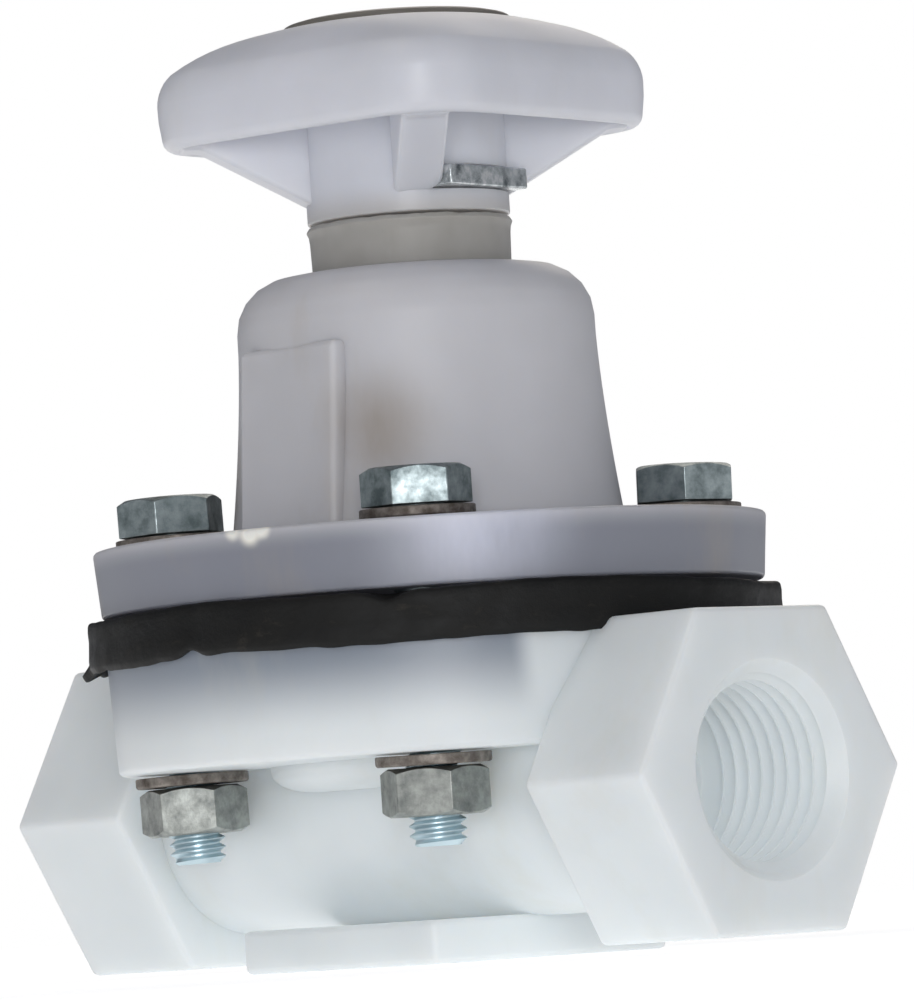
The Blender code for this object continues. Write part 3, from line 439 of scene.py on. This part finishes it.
def makeBody():
    hexRadius = body["hexFlats"] / 2 / cos(pi / 6)
    hexCentre = bodyReach - body["hexLength"] / 2
    ends = [prism(6, hexRadius, body["hexLength"], (side * hexCentre, 0, flowAxis), "X", 0.0,
                  body["hexEdge"]) for side in (1, -1)]
    barrel = prism(96, body["barrelRadius"], 2 * hexInner + 4, (0, 0, flowAxis), "X")
    outer = body["flangeRadius"]
    flange = turned([(0, flangeUnderside, 0),
                     (outer - body["flangeDraft"], flangeUnderside, body["flangeEdge"]),
                     (outer, bodyFace, 0.4), (0, bodyFace, 0)], steps=160)
    bowl = body["bowlRadius"] + body["bowlWall"]
    across, down = body["bulgeRounding"]
    bulgeLow = flangeUnderside - body["bulgeDepth"]
    curve = [(bowl - across * (1 - cos(pi / 20 * i)), bulgeLow + down * (1 - sin(pi / 20 * i)), 0)
             for i in range(11)]
    bulge = turned([(0, flangeUnderside + 3, 0), (bowl, flangeUnderside + 3, 0), *curve,
                    (0, bulgeLow, 0)], steps=120)
    length, width, height = body["foot"]
    foot = block((length, width, height), (0, 0, height / 2), body["footEdge"])
    piece = combine(loose(flange), [barrel, bulge, *ends, foot], "UNION")

    cutters = []
    for side in (1, -1):
        innerEnd = bodyReach - body["threadLength"]
        cutters.append(alongX(threadRod(pipeThread, innerEnd, bodyReach + 1.0, 48), side))
        wide = body["mouthRadius"]
        cone = turned([(0, bodyReach - 2.4, 0), (wide - 2.5, bodyReach - 2.4, 0), (wide, bodyReach, 0.25),
                       (wide + 1, bodyReach + 1, 0), (0, bodyReach + 1, 0)])
        cutters.append(alongX(cone, side))
        start = body["weirThick"] / 2
        cutters.append(prism(48, body["portRadius"], innerEnd + 1 - start,
                             (side * (start + innerEnd + 1) / 2, 0, flowAxis), "X"))
    combine(piece, cutters, "DIFFERENCE")

    floor = flowAxis - body["portRadius"]
    shelf = bodyFace - body["bowlDepth"]
    cavity = loose(turned([(0, bodyFace + 2, 0), (body["bowlRadius"], bodyFace + 2, 0),
                           (body["bowlRadius"], shelf, 2.5), (body["wellRadius"], shelf, 1.2),
                           (body["wellRadius"], floor, 4.0), (0, floor, 0)], steps=72))
    weir = block((body["weirThick"], 60, 60), (0, 0, (bodyFace + floor) / 2))
    combine(cavity, [weir], "DIFFERENCE")
    seat = bmesh.new()
    bmesh.ops.create_uvsphere(seat, u_segments=72, v_segments=48, radius=body["seatRadius"] * mm)
    bmesh.ops.translate(seat, verts=seat.verts, vec=(0, 0, seatCentre * mm))
    combine(piece, [cavity, seat, *boltHoles(flangeUnderside, bodyFace)], "DIFFERENCE")
    return finishPiece(piece, "bodyMoulding", "valve", bodyPlastic,
                       ["valve_body"], 32)


# fasteners: bolts with rolled threads, chamfered nuts, washers

fasteners = {
    "spacing": (37.2, 39.2), "lean": 1.2, "key": 10.0, "headHeight": 4.0, "nutHeight": 5.0,
    "chamfer": 30, "washerRadius": 6.0, "washerThick": 1.1, "holeGap": 0.4, "proud": 3.1,
    "contactGap": 0.2, "threadLength": 16.0, "threadGap": 0.12, "flatShare": 0.95,
    "headTurns": (32.0, 20.0, 45.0, 8.0), "nutTurns": (10.0, 2.5, 38.0, 24.0),
    "bonnetFlangeTop": bonnetFace + 7.1,
}
boltThread = {"pitch": 1.0, "root": 2.38, "crest": 2.95, "rootFlat": 0.2, "crestFlat": 0.14,
              "endChamfer": 1}


def boltPlaces():
    halfX, halfY = fasteners["spacing"][0] / 2, fasteners["spacing"][1] / 2
    return [(-halfX, -halfY), (halfX, -halfY), (halfX, halfY), (-halfX, halfY)]


def boltHoles(low, high):
    radius = boltThread["crest"] + fasteners["holeGap"]
    return [prism(32, radius, high - low + 2, (x, y, (high + low) / 2)) for x, y in boltPlaces()]


def placeOnBolt(shape, index):
    # moves a shape made about the origin to bolt number index, leaning out at the head
    x, y = boltPlaces()[index]
    middle = (fasteners["bonnetFlangeTop"] + flangeUnderside) / 2
    lean = Quaternion(Vector((-y, x, 0)), radians(fasteners["lean"])).to_matrix().to_4x4()
    shape.data.transform(Matrix.Translation(Vector((x, y, middle)) * mm) @ lean)
    return shape


def hexBlank(low, high, turn, lowChamfer, highChamfer):
    # a hexagon whose corners are turned off at the ends, as a nut's are
    corner = fasteners["key"] / 2 / cos(pi / 6)
    flat = fasteners["key"] / 2 * fasteners["flatShare"]
    drop = (corner + 0.6 - flat) * tan(radians(fasteners["chamfer"]))
    blank = loose(prism(6, corner, high - low, (0, 0, (low + high) / 2), turn=radians(turn), edge=0.12))
    wide = corner + 0.6
    outline = [(0, low, 0), (flat, low, 0), (wide, low + drop, 0)] if lowChamfer else \
        [(0, low - 1, 0), (wide, low - 1, 0)]
    outline += [(wide, high - drop, 0), (flat, high, 0), (0, high, 0)] if highChamfer else \
        [(wide, high + 1, 0), (0, high + 1, 0)]
    return combine(blank, [turned(outline, steps=72)], "INTERSECT")


def makeFasteners():
    gap = fasteners["contactGap"]
    grip = (fasteners["bonnetFlangeTop"] - flangeUnderside) / 2 + gap
    headLow = grip + fasteners["washerThick"] + gap
    nutHigh = -headLow
    nutLow = nutHigh - fasteners["nutHeight"]
    bore = boltThread["crest"] + fasteners["holeGap"]
    outer, thick = fasteners["washerRadius"], fasteners["washerThick"]
    for index in range(4):
        number = index + 1
        headHigh = headLow + fasteners["headHeight"]
        head = hexBlank(headLow, headHigh, fasteners["headTurns"][index], False, True)
        threadTop = nutLow - fasteners["proud"] + fasteners["threadLength"]
        rod = threadRod(boltThread, nutLow - fasteners["proud"], threadTop, 32)
        shank = prism(32, boltThread["crest"] - 0.05, headLow + 1 - threadTop + 0.5,
                      (0, 0, (headLow + 1 + threadTop - 0.5) / 2))
        combine(head, [shank, rod], "UNION")
        finishPiece(placeOnBolt(head, index), f"boltVisual{number}", "valve", boltZinc,
                    [f"bolt_{number}"], 34)
        nut = hexBlank(nutLow, nutHigh, fasteners["nutTurns"][index], True, True)
        threadReach = boltThread["crest"] + fasteners["threadGap"]
        hole = turned([(0, nutLow - 1, 0), (boltThread["crest"] + 1.4, nutLow - 1, 0),
                       (threadReach, nutLow + 0.35, 0), (threadReach, nutHigh + 1, 0),
                       (0, nutHigh + 1, 0)], steps=40)
        combine(nut, [hole], "DIFFERENCE")
        finishPiece(placeOnBolt(nut, index), f"nutVisual{number}", "valve", nutZinc,
                    [f"nut_{number}"], 34)
        for label, low in (("head", grip), ("nut", -grip - thick)):
            ring = loose(turned([(bore, low, 0.12), (outer, low, 0.3), (outer, low + thick, 0.14),
                                 (bore, low + thick, 0.3)], True, 56))
            finishPiece(placeOnBolt(ring, index), f"{label}WasherVisual{number}", "valve", washerSteel,
                        [f"{label}_washer_{number}"], 40)


makeBody()
print("body made")
makeFasteners()
print("fasteners made")


# bonnet: bell on a round flange, a flat land at front and back

bonnet = {
    "flangeRadius": 35.8, "flangeThick": 7.1, "flangeDraft": 0.6, "bellBase": 20.95, "bellTop": 19.0,
    "shoulder": 5.6, "cavity": 15.8, "cavityTaper": 0.9, "roof": 6.8, "landHalfWidth": 7.3,
    "landProud": 0.15, "landDrop": 8.0, "landEdge": 0.7, "grooveHalfWidth": 3.0, "grooveDepth": 1.4,
    "bushHole": 7.9, "footFillet": 0.9, "grooveStart": 12.4,
}
bonnetFlangeTop = bonnetFace + bonnet["flangeThick"]


def bellRadius(height):
    shoulderFoot = bonnetTop - bonnet["shoulder"]
    share = max((shoulderFoot - height) / (shoulderFoot - bonnetFlangeTop), 0.0)
    return bonnet["bellTop"] + (bonnet["bellBase"] - bonnet["bellTop"]) * share ** 1.6


def makeBonnet():
    outer, ceiling = bonnet["flangeRadius"], bonnetTop - bonnet["roof"]
    corners = [(bonnet["bushHole"], bonnetTop, 0.3), (bonnet["bellTop"], bonnetTop, bonnet["shoulder"])]
    shoulderFoot = bonnetTop - bonnet["shoulder"] - 0.4
    for i in range(1, 12):
        height = shoulderFoot + (bonnetFlangeTop - shoulderFoot) * i / 12
        corners.append((bellRadius(height), height, 0))
    corners += [(bonnet["bellBase"], bonnetFlangeTop, bonnet["footFillet"]), (outer, bonnetFlangeTop, 0.5),
                (outer - bonnet["flangeDraft"], bonnetFace, 0.4), (bonnet["cavity"], bonnetFace, 0),
                (bonnet["cavity"] - bonnet["cavityTaper"], ceiling, 0), (bonnet["bushHole"], ceiling, 0)]
    piece = loose(turned(corners, True, 144))
    landTop, landFoot = bonnetTop - bonnet["landDrop"], bonnetFlangeTop - 2
    root = bonnet["bellTop"] - 2.0
    outline = [(root, landFoot), (bonnet["bellBase"], landFoot),
               (bellRadius(landTop) + bonnet["landProud"], landTop), (root, landTop)]
    lands = [slab(outline, 2 * bonnet["landHalfWidth"], side * pi / 2, bonnet["landEdge"])
             for side in (1, -1)]
    combine(piece, lands, "UNION")
    grooveEnd = bonnet["cavity"] + bonnet["grooveDepth"]
    low, high = bonnetFace - 1, ceiling - 1
    grooveStart = bonnet["grooveStart"]
    grooves = [block((2 * bonnet["grooveHalfWidth"], grooveEnd - grooveStart, high - low),
                     (0, side * (grooveStart + grooveEnd) / 2, (low + high) / 2)) for side in (1, -1)]
    combine(piece, grooves + boltHoles(bonnetFace, bonnetFlangeTop), "DIFFERENCE")
    return finishPiece(piece, "bonnetMoulding", "valve", bonnetPlastic,
                       ["bonnet"], 32)


# bush: turned collar with a burred lip

bush = {"shank": 7.7, "bore": 5.1, "taper": 0.4, "seatGap": 0.2, "lip": 0.32, "burr": 0.16}


def makeBush():
    seat, ceiling = bonnetTop + bush["seatGap"], bonnetTop - bonnet["roof"]
    bm = turned([(bush["bore"], bushTop, 0.2), (bushRadius - bush["lip"], bushTop, 0),
                 (bushRadius, bushTop - 0.45, 0.1), (bushRadius - 0.22, bushTop - 0.95, 0),
                 (bushRadius - 0.3, bushTop - 1.6, 0),
                 (bushRadius - bush["taper"], seat, 0.2), (bush["shank"], seat, 0),
                 (bush["shank"], ceiling, 0.3), (bush["bore"], ceiling, 0.3)], True, 128)
    for vert in bm.verts:  # the lip was left rough by the tool
        depth = bushTop - vert.co.z / mm
        if depth < 1.8 and vert.co.xy.length > (bushRadius - 1) * mm:
            wave = noise.noise(Vector((vert.co.x, vert.co.y, 0)) / (2.2 * mm))
            fine = noise.noise(Vector((vert.co.x, vert.co.y, vert.co.z)) / (0.7 * mm))
            vert.co.z += (wave * 0.8 + fine * 0.4) * bush["burr"] * mm * exp(-depth)
            vert.co.xy *= 1 + min((wave + fine) * bush["burr"], 0) * mm / vert.co.xy.length
    return finishPiece(loose(bm), "bushTurning", "valve", bushPlastic,
                       ["bonnet_bush"], 45, False)


# diaphragm: trimmed rubber rim with a drooping skirt, and the cup the compressor presses

rubber = {
    "clampLow": bodyFace + 0.3, "inner": 14.2, "skirtDrop": 1.9, "skirtThick": 1.05,
    "cupOuter": 18.9, "cupInner": 15.5, "cupSteps": 14, "outerSweep": 49.5, "innerSweep": 56.3,
    "frontAngle": -44.5,
}


def near(angle, centre, width):
    # 1 at a centre angle, falling smoothly to 0 a few widths away
    away = (angle - centre + 180) % 360 - 180
    return exp(-(away / width) ** 2)


def makeRubberRim():
    low, top, outer = rubber["clampLow"], rubberTop, rubberReach
    inside = outer - rubber["skirtThick"]
    corners = [(rubber["inner"], low, 0), (inside - 0.3, low, 0), (inside, low - 0.35, 0),
               (inside + 0.05, low - 1.0, 0), (inside + 0.25, low - rubber["skirtDrop"], 0.15),
               (outer - 0.35, low - rubber["skirtDrop"] - 0.1, 0.1),
               (outer, low - rubber["skirtDrop"] + 0.5, 0.2), (outer + 0.05, low - 0.5, 0),
               (outer, low + 0.6, 0), (outer - 0.05, low + 1.6, 0), (outer, low + 2.6, 0),
               (outer - 0.1, top, 0.45), (outer - 2, top, 0), (rubber["inner"], top, 0)]
    bm = turned(corners, True, 360)
    for vert in bm.verts:
        radius = vert.co.xy.length / mm
        if radius < outer - 2.5:
            continue
        angle = degrees(Vector((1, 0)).angle_signed(vert.co.xy)) * -1 - rubber["frontAngle"]
        angle = (angle + 180) % 360 - 180  # 0 faces the front, -90 the left
        height = vert.co.z / mm
        long = noise.noise(Vector((vert.co.x, vert.co.y, 0)) / (9 * mm))
        short = noise.noise(Vector((vert.co.x, vert.co.y, vert.co.z * 0.6)) / (2.6 * mm))
        edge = min(max((radius - outer + 2.5) / 1.4, 0), 1)
        if height < low:  # how far the skirt hangs changes round the rim
            hang = 0.78 + 0.3 * long + 0.12 * short
            hang += 0.28 * near(angle, -70, 16) - 0.45 * near(angle, -44, 2.2) + 0.2 * near(angle, -8, 10)
            hang -= 0.70 * near(angle, 84, 28) + 0.40 * near(angle, 150, 30)
            height = low - (low - height) * max(hang, 0.12)
        else:
            share = (height - low) / (top - low)
            rise = 0.22 * long + 0.10 * short + 0.42 * near(angle, -41, 12) + 0.35 * near(angle, 20, 14)
            rise -= 0.85 * near(angle, -7, 2.6) + 0.45 * near(angle, 74, 18)
            height += rise * share * edge * (1 if share > 0.5 else 0.3)
        bulge = 0.28 * long + 0.12 * short + 0.55 * near(angle, -74, 17) - 0.25 * near(angle, -43, 2.5)
        bulge += 0.30 * near(angle, 88, 8) - 0.2 * near(angle, -5, 2.0)
        tail = near(angle, -92, 2.2) if vert.co.z / mm < low - 1.2 else 0  # torn end of the rubber
        radius += bulge * edge + 1.1 * tail
        vert.co.xy *= radius * mm / vert.co.xy.length
        vert.co.z = (height - 0.7 * tail) * mm
    rim = finishPiece(loose(bm), "diaphragmRim", "valve", blackRubber,
                      ["diaphragm"], 50, False)
    return combineInPlace(rim, boltHoles(low - 2, top + 2))


def combineInPlace(piece, shapes):
    # cuts shapes from a finished piece and keeps its paint
    paint = piece.data.materials[0]
    combine(piece, shapes, "DIFFERENCE")
    piece.data.materials.clear()
    piece.data.materials.append(paint)
    return piece


def cupArc(radius, sweep):
    # from the cup's lowest point up one side
    angles = [radians(-90 + sweep * i / rubber["cupSteps"]) for i in range(rubber["cupSteps"] + 1)]
    arc = [(radius * cos(angle), seatCentre + radius * sin(angle), 0) for angle in angles]
    return [(0, seatCentre - radius, 0)] + arc[1:]


def makeRubberCup():
    # turned from an outer and an inner arc, its edge meeting the clamped rim; the compressor presses its
    # middle
    outer = cupArc(rubber["cupOuter"], rubber["outerSweep"])
    inner = cupArc(rubber["cupInner"], rubber["innerSweep"])
    piece = loose(turned(outer + inner[::-1], False, 72))
    finishPiece(piece, "diaphragmCup", None, blackRubber, (), 50, False)
    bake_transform(piece)
    return piece


makeBonnet()
makeBush()
print("bonnet and bush made")
makeRubberRim()
makeRubberCup()
print("diaphragm made")


# handwheel: crowned rounded square, deep rim, hub and four ribs to the corners

wheel = {
    "restTurn": 7.0, "hub": 10.8, "halfFlat": 20.8, "cornerRadius": 8.0, "rimHeight": 7.4,
    "rimWall": 4.2, "rimFall": 6.0, "crownCurve": 4.0, "capProud": 0.7, "lipRise": 1.3,
    "crownThick": 3.4, "ribThick": 5.0, "ribFoot": 1.6, "bead": 1.6,
    "ribEdge": 0.5, "plate": (2.2, 13.0, 0.45, 2.4), "plateSlot": (12.0, 7.6, 8.0),
    "cap": (12.2, 1.3, 7.2, 4.0), "bore": 5.1,
}
wheelCorner = sqrt(2) * (wheel["halfFlat"] - wheel["cornerRadius"]) + wheel["cornerRadius"]
rimLow = crown - wheel["rimFall"] - wheel["rimHeight"]
plateThick, plateWidth, plateProud, plateRise = wheel["plate"]
capRadius, capThick, capPlug, capPlugLength = wheel["cap"]


def crownHeight(radius):
    fall = (wheel["rimFall"] - wheel["capProud"]) * (radius / wheelCorner) ** wheel["crownCurve"]
    return crown - wheel["capProud"] - fall


def squareReach(angle):
    # from the axis to the rounded square in a direction
    folded = abs((angle + pi / 4) % (pi / 2) - pi / 4)
    inner = wheel["halfFlat"] - wheel["cornerRadius"]
    if tan(folded) <= inner / wheel["halfFlat"]:
        return wheel["halfFlat"] / cos(folded)
    lean = inner * (cos(folded) + sin(folded))
    return lean + sqrt(lean ** 2 - 2 * inner ** 2 + wheel["cornerRadius"] ** 2)


def turnWheel(piece):
    piece.data.transform(Matrix.Rotation(radians(wheel["restTurn"]), 4, "Z"))
    return piece


def makeHandwheel():
    recess, recessFloor = capRadius + 0.2, crown - capThick - 0.2
    plugFloor = crown - capThick - capPlugLength - 0.4
    innerWall, bead = wheelCorner - wheel["rimWall"], wheel["bead"]
    edge = wheelCorner
    corners = [(capPlug + 0.2, recessFloor, 0), (recess, recessFloor, 0), (recess, crownHeight(recess), 0.15)]
    for i in range(1, 10):
        radius = recess + (edge - recess - bead) * i / 9
        corners.append((radius, crownHeight(radius), 0))
    corners += [(edge, crownHeight(edge) - 0.35, bead * 1.1),
                (edge - 0.1, (crownHeight(edge) + rimLow) / 2, 0),
                (edge - 0.6, rimLow, bead), (innerWall, rimLow + wheel["lipRise"], 0.7),
                (innerWall - 0.6, crownHeight(innerWall) - wheel["crownThick"], 1.6)]
    middle = (innerWall + wheel["hub"]) / 2
    corners += [(middle, crownHeight(middle) - wheel["crownThick"], 0),
                (wheel["hub"], crownHeight(wheel["hub"]) - wheel["crownThick"], 0.8),
                (wheel["hub"], hubFoot, 0.25), (wheel["bore"], hubFoot, 0), (wheel["bore"], plugFloor, 0),
                (capPlug + 0.2, plugFloor, 0)]
    bm = turned(corners, True, 192)
    for vert in bm.verts:  # draws the turned rim in to the rounded square, past the cap's recess
        radius = vert.co.xy.length / mm
        if radius > wheel["hub"] + 0.1 or (radius > recess and vert.co.z / mm > crown - 3):
            start = max(recess, wheel["hub"]) if vert.co.z / mm > crown - 3 else wheel["hub"]
            if radius > start:
                reach = squareReach(Vector((1, 0)).angle_signed(vert.co.xy))
                drawn = start + (radius - start) * (reach - start) / (wheelCorner - start)
                vert.co.xy *= drawn / radius
    piece = loose(bm)
    root, end = wheel["hub"] - 1, wheelCorner - wheel["rimWall"] / 2
    middle, sink = (root + end) / 2, wheel["crownThick"] / 2
    outline = [(root, hubFoot + wheel["ribFoot"]), (innerWall, rimLow + 0.3), (end, rimLow + 0.3),
               (end, crownHeight(end) - sink), (middle, crownHeight(middle) - sink),
               (root, crownHeight(root) - sink)]
    ribs = [slab(outline, wheel["ribThick"], pi / 4 + i * pi / 2, wheel["ribEdge"]) for i in range(4)]
    combine(piece, ribs, "UNION")
    slotEnd = wheel["hub"] + 1
    slotStart = -plateWidth / 2 - 0.2
    slot = block((slotEnd - slotStart, plateWidth + 0.4, plateThick + 0.4),
                 ((slotStart + slotEnd) / 2, 0, hubFoot + plateRise + plateThick / 2), 0.15)
    combine(piece, [slot], "DIFFERENCE")
    return finishPiece(turnWheel(piece), "handwheelMoulding", "wheel", wheelPlastic,
                       ["handwheel"], 32)


def makeLockPlate():
    start, end = -plateWidth / 2, wheel["hub"] + plateProud
    height = hubFoot + plateRise + plateThick / 2
    piece = loose(block((end - start, plateWidth, plateThick), ((start + end) / 2, 0, height), 0.22))
    slotLength = wheel["plateSlot"][0]
    slot = block(wheel["plateSlot"], (start - 1.5 + slotLength / 2, 0, height))
    combine(piece, [slot], "DIFFERENCE")
    return finishPiece(turnWheel(piece), "lockPlateStamping", "wheel", plateZinc,
                       ["wheel_lock_plate"], 34)


def makeCap():
    low = crown - capThick
    bm = turned([(0, crown, 0), (capRadius * 0.55, crown - 0.03, 0), (capRadius - 1.2, crown - 0.14, 0),
                 (capRadius, crown - 0.45, 0.3), (capRadius, low, 0.1), (capPlug, low, 0),
                 (capPlug, low - capPlugLength, 0.4), (0, low - capPlugLength, 0)], False, 96)
    return finishPiece(turnWheel(loose(bm)), "capMoulding", "wheel", capPlastic,
                       ["wheel_cap"], 32)


# spindle: turned head, rolled trapezoid thread, two flats for the lock plate

spindle = {"head": 6.2, "headThick": 3.2, "flats": 7.2, "threadLow": 9.5, "shank": 4.75,
           "cutWidth": 4.8}
spindleThread = {"pitch": 3.0, "root": 3.7, "crest": 4.8, "rootFlat": 0.34, "crestFlat": 0.36,
                 "endChamfer": 1}


def makeSpindle():
    headTop = spindleLow + spindle["headThick"]
    threadLow = headTop + spindle["threadLow"]
    head = turned([(0, spindleLow, 0), (spindle["head"], spindleLow, 0.3), (spindle["head"], headTop, 0.3),
                   (spindle["shank"], headTop, 0), (spindle["shank"], threadLow - 0.5, 0.4),
                   (spindleThread["root"] - 0.1, threadLow + 1, 0),
                   (0, threadLow + 1, 0)], steps=48)
    piece = combine(loose(head), [threadRod(spindleThread, threadLow, spindleTop, 40)], "UNION")
    plateLow = hubFoot + plateRise
    cut = spindle["cutWidth"]
    flats = [block((30, cut, plateThick + 0.4), (0, side * (spindle["flats"] + cut) / 2,
                                                 plateLow + plateThick / 2)) for side in (1, -1)]
    combine(piece, flats, "DIFFERENCE")
    return finishPiece(turnWheel(piece), "spindleTurning", "wheel", spindleSteel,
                       ["spindle"], 34)


makeHandwheel()
makeLockPlate()
makeCap()
makeSpindle()
print("handwheel, lock plate, cap and spindle made")

hidden = {"compressor": wheelPlastic, "swivel_nut": spindleSteel, "diaphragm_stud": boltZinc}
for nodeName, finish in hidden.items():  # CAD nodes kept as they are inside the bonnet
    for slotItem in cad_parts[nodeName].material_slots:
        slotItem.material = finish

# floor, light and camera

floorMesh = bmesh.new()
bmesh.ops.create_grid(floorMesh, x_segments=1, y_segments=1, size=4.0)
floor = loose(floorMesh, "studioFloor")
floorPaint, floorTree, floorShader, floorPlace = startMaterial("matteWhiteBoard")
floorShader.inputs["Base Color"].default_value = linear("#EDEDED")
floorShader.inputs["Roughness"].default_value = 0.9
floorShader.inputs["Emission Color"].default_value = linear("#FFFFFF")
floorAway = addNode(floorTree, "ShaderNodeVectorMath", {"operation": "LENGTH"}, {0: floorPlace})
floorSweep = addNode(floorTree, "ShaderNodeMapRange", inputs={  # a sweep that runs out to plain white
    "Value": floorAway.outputs["Value"], "From Min": 0.10, "From Max": 0.35, "To Min": 0.70, "To Max": 0.95})
floorRays = addNode(floorTree, "ShaderNodeLightPath")  # dimmer where it lights matt surfaces
floorGlow = addNode(floorTree, "ShaderNodeMapRange", inputs={
    "Value": floorRays.outputs["Is Diffuse Ray"], "To Min": floorSweep.outputs[0], "To Max": 0.31})
floorTree.links.new(floorGlow.outputs[0], floorShader.inputs["Emission Strength"])
underside = addNode(floorTree, "ShaderNodeMixShader", inputs={  # the board is clear from below
    0: addNode(floorTree, "ShaderNodeNewGeometry").outputs["Backfacing"],
    1: floorShader.outputs[0], 2: addNode(floorTree, "ShaderNodeBsdfTransparent").outputs[0]})
floorTree.links.new(underside.outputs[0], floorTree.nodes["Material Output"].inputs["Surface"])
floor.data.materials.append(floorPaint)

world = bpy.data.worlds.new("studio")
bpy.context.scene.world = world
world.use_nodes = True
worldTree = world.node_tree
worldTree.nodes["Background"].inputs["Color"].default_value = linear("#E9EEFA")
worldTree.nodes["Background"].inputs["Strength"].default_value = 0.20
backdrop = addNode(worldTree, "ShaderNodeBackground", inputs={"Color": (1, 1, 1, 1), "Strength": 1.0})
rays = addNode(worldTree, "ShaderNodeLightPath")
blendShader = addNode(worldTree, "ShaderNodeMixShader", inputs={
    0: rays.outputs["Is Camera Ray"], 1: worldTree.nodes["Background"].outputs[0],
    2: backdrop.outputs[0]})
worldTree.links.new(blendShader.outputs[0], worldTree.nodes["World Output"].inputs["Surface"])

lights = [  # name, azimuth and elevation in degrees, distance, size, power and colour
    ("frontSoftbox", 46, 2, 0.80, 0.30, 2.15, "#FFFFFF"),
    ("rightSoftbox", 110, 10, 0.8, 0.35, 0.18, "#FFFFFF"),
    ("leftFill", 0, 62, 0.9, 0.5, 0.9, "#FFF6EA"),
    ("backFill", 215, 35, 0.9, 0.5, 1.0, "#FFF6EA"),
]
focus = Vector((0, 0, 0.045))
for name, azimuth, elevation, distance, size, power, colour in lights:
    lamp = bpy.data.lights.new(name, "AREA")
    lamp.shape, lamp.size, lamp.energy, lamp.color = "DISK", size, power, linear(colour)[:3]
    source = bpy.data.objects.new(name, lamp)
    bpy.context.scene.collection.objects.link(source)
    a, e = radians(azimuth), radians(elevation)
    outward = Vector((sin(a) * cos(e), -cos(a) * cos(e), sin(e)))
    source.location = focus + outward * distance
    source.rotation_mode = "QUATERNION"
    source.rotation_quaternion = outward.to_track_quat("Z", "Y")

view = {"azimuth": 45.5, "elevation": -3.385, "distance": 743.7, "roll": 3.721, "target": (0, 0, 50.0),
        "right": 3.23, "up": -0.94, "lens": 252.0}
azimuth, elevation = radians(view["azimuth"]), radians(view["elevation"])
back = Vector((sin(azimuth) * cos(elevation), -cos(azimuth) * cos(elevation), sin(elevation)))
level = Vector((cos(azimuth), sin(azimuth), 0))
upright = back.cross(level)
roll = radians(view["roll"])
imageRight = level * cos(roll) - upright * sin(roll)
imageUp = level * sin(roll) + upright * cos(roll)
lensData = bpy.data.cameras.new("studioCamera")
lensData.lens, lensData.sensor_width = view["lens"], 36.0
camera = bpy.data.objects.new("studioCamera", lensData)
bpy.context.scene.collection.objects.link(camera)
axes = Matrix((imageRight, imageUp, back)).transposed()
camera.rotation_mode = "QUATERNION"
camera.rotation_quaternion = axes.to_quaternion()
camera.location = (Vector(view["target"]) + back * view["distance"] + imageRight * view["right"]
                   + imageUp * view["up"]) * mm
bpy.context.scene.camera = camera
bpy.context.scene.view_settings.view_transform = "Standard"
print("studio made")
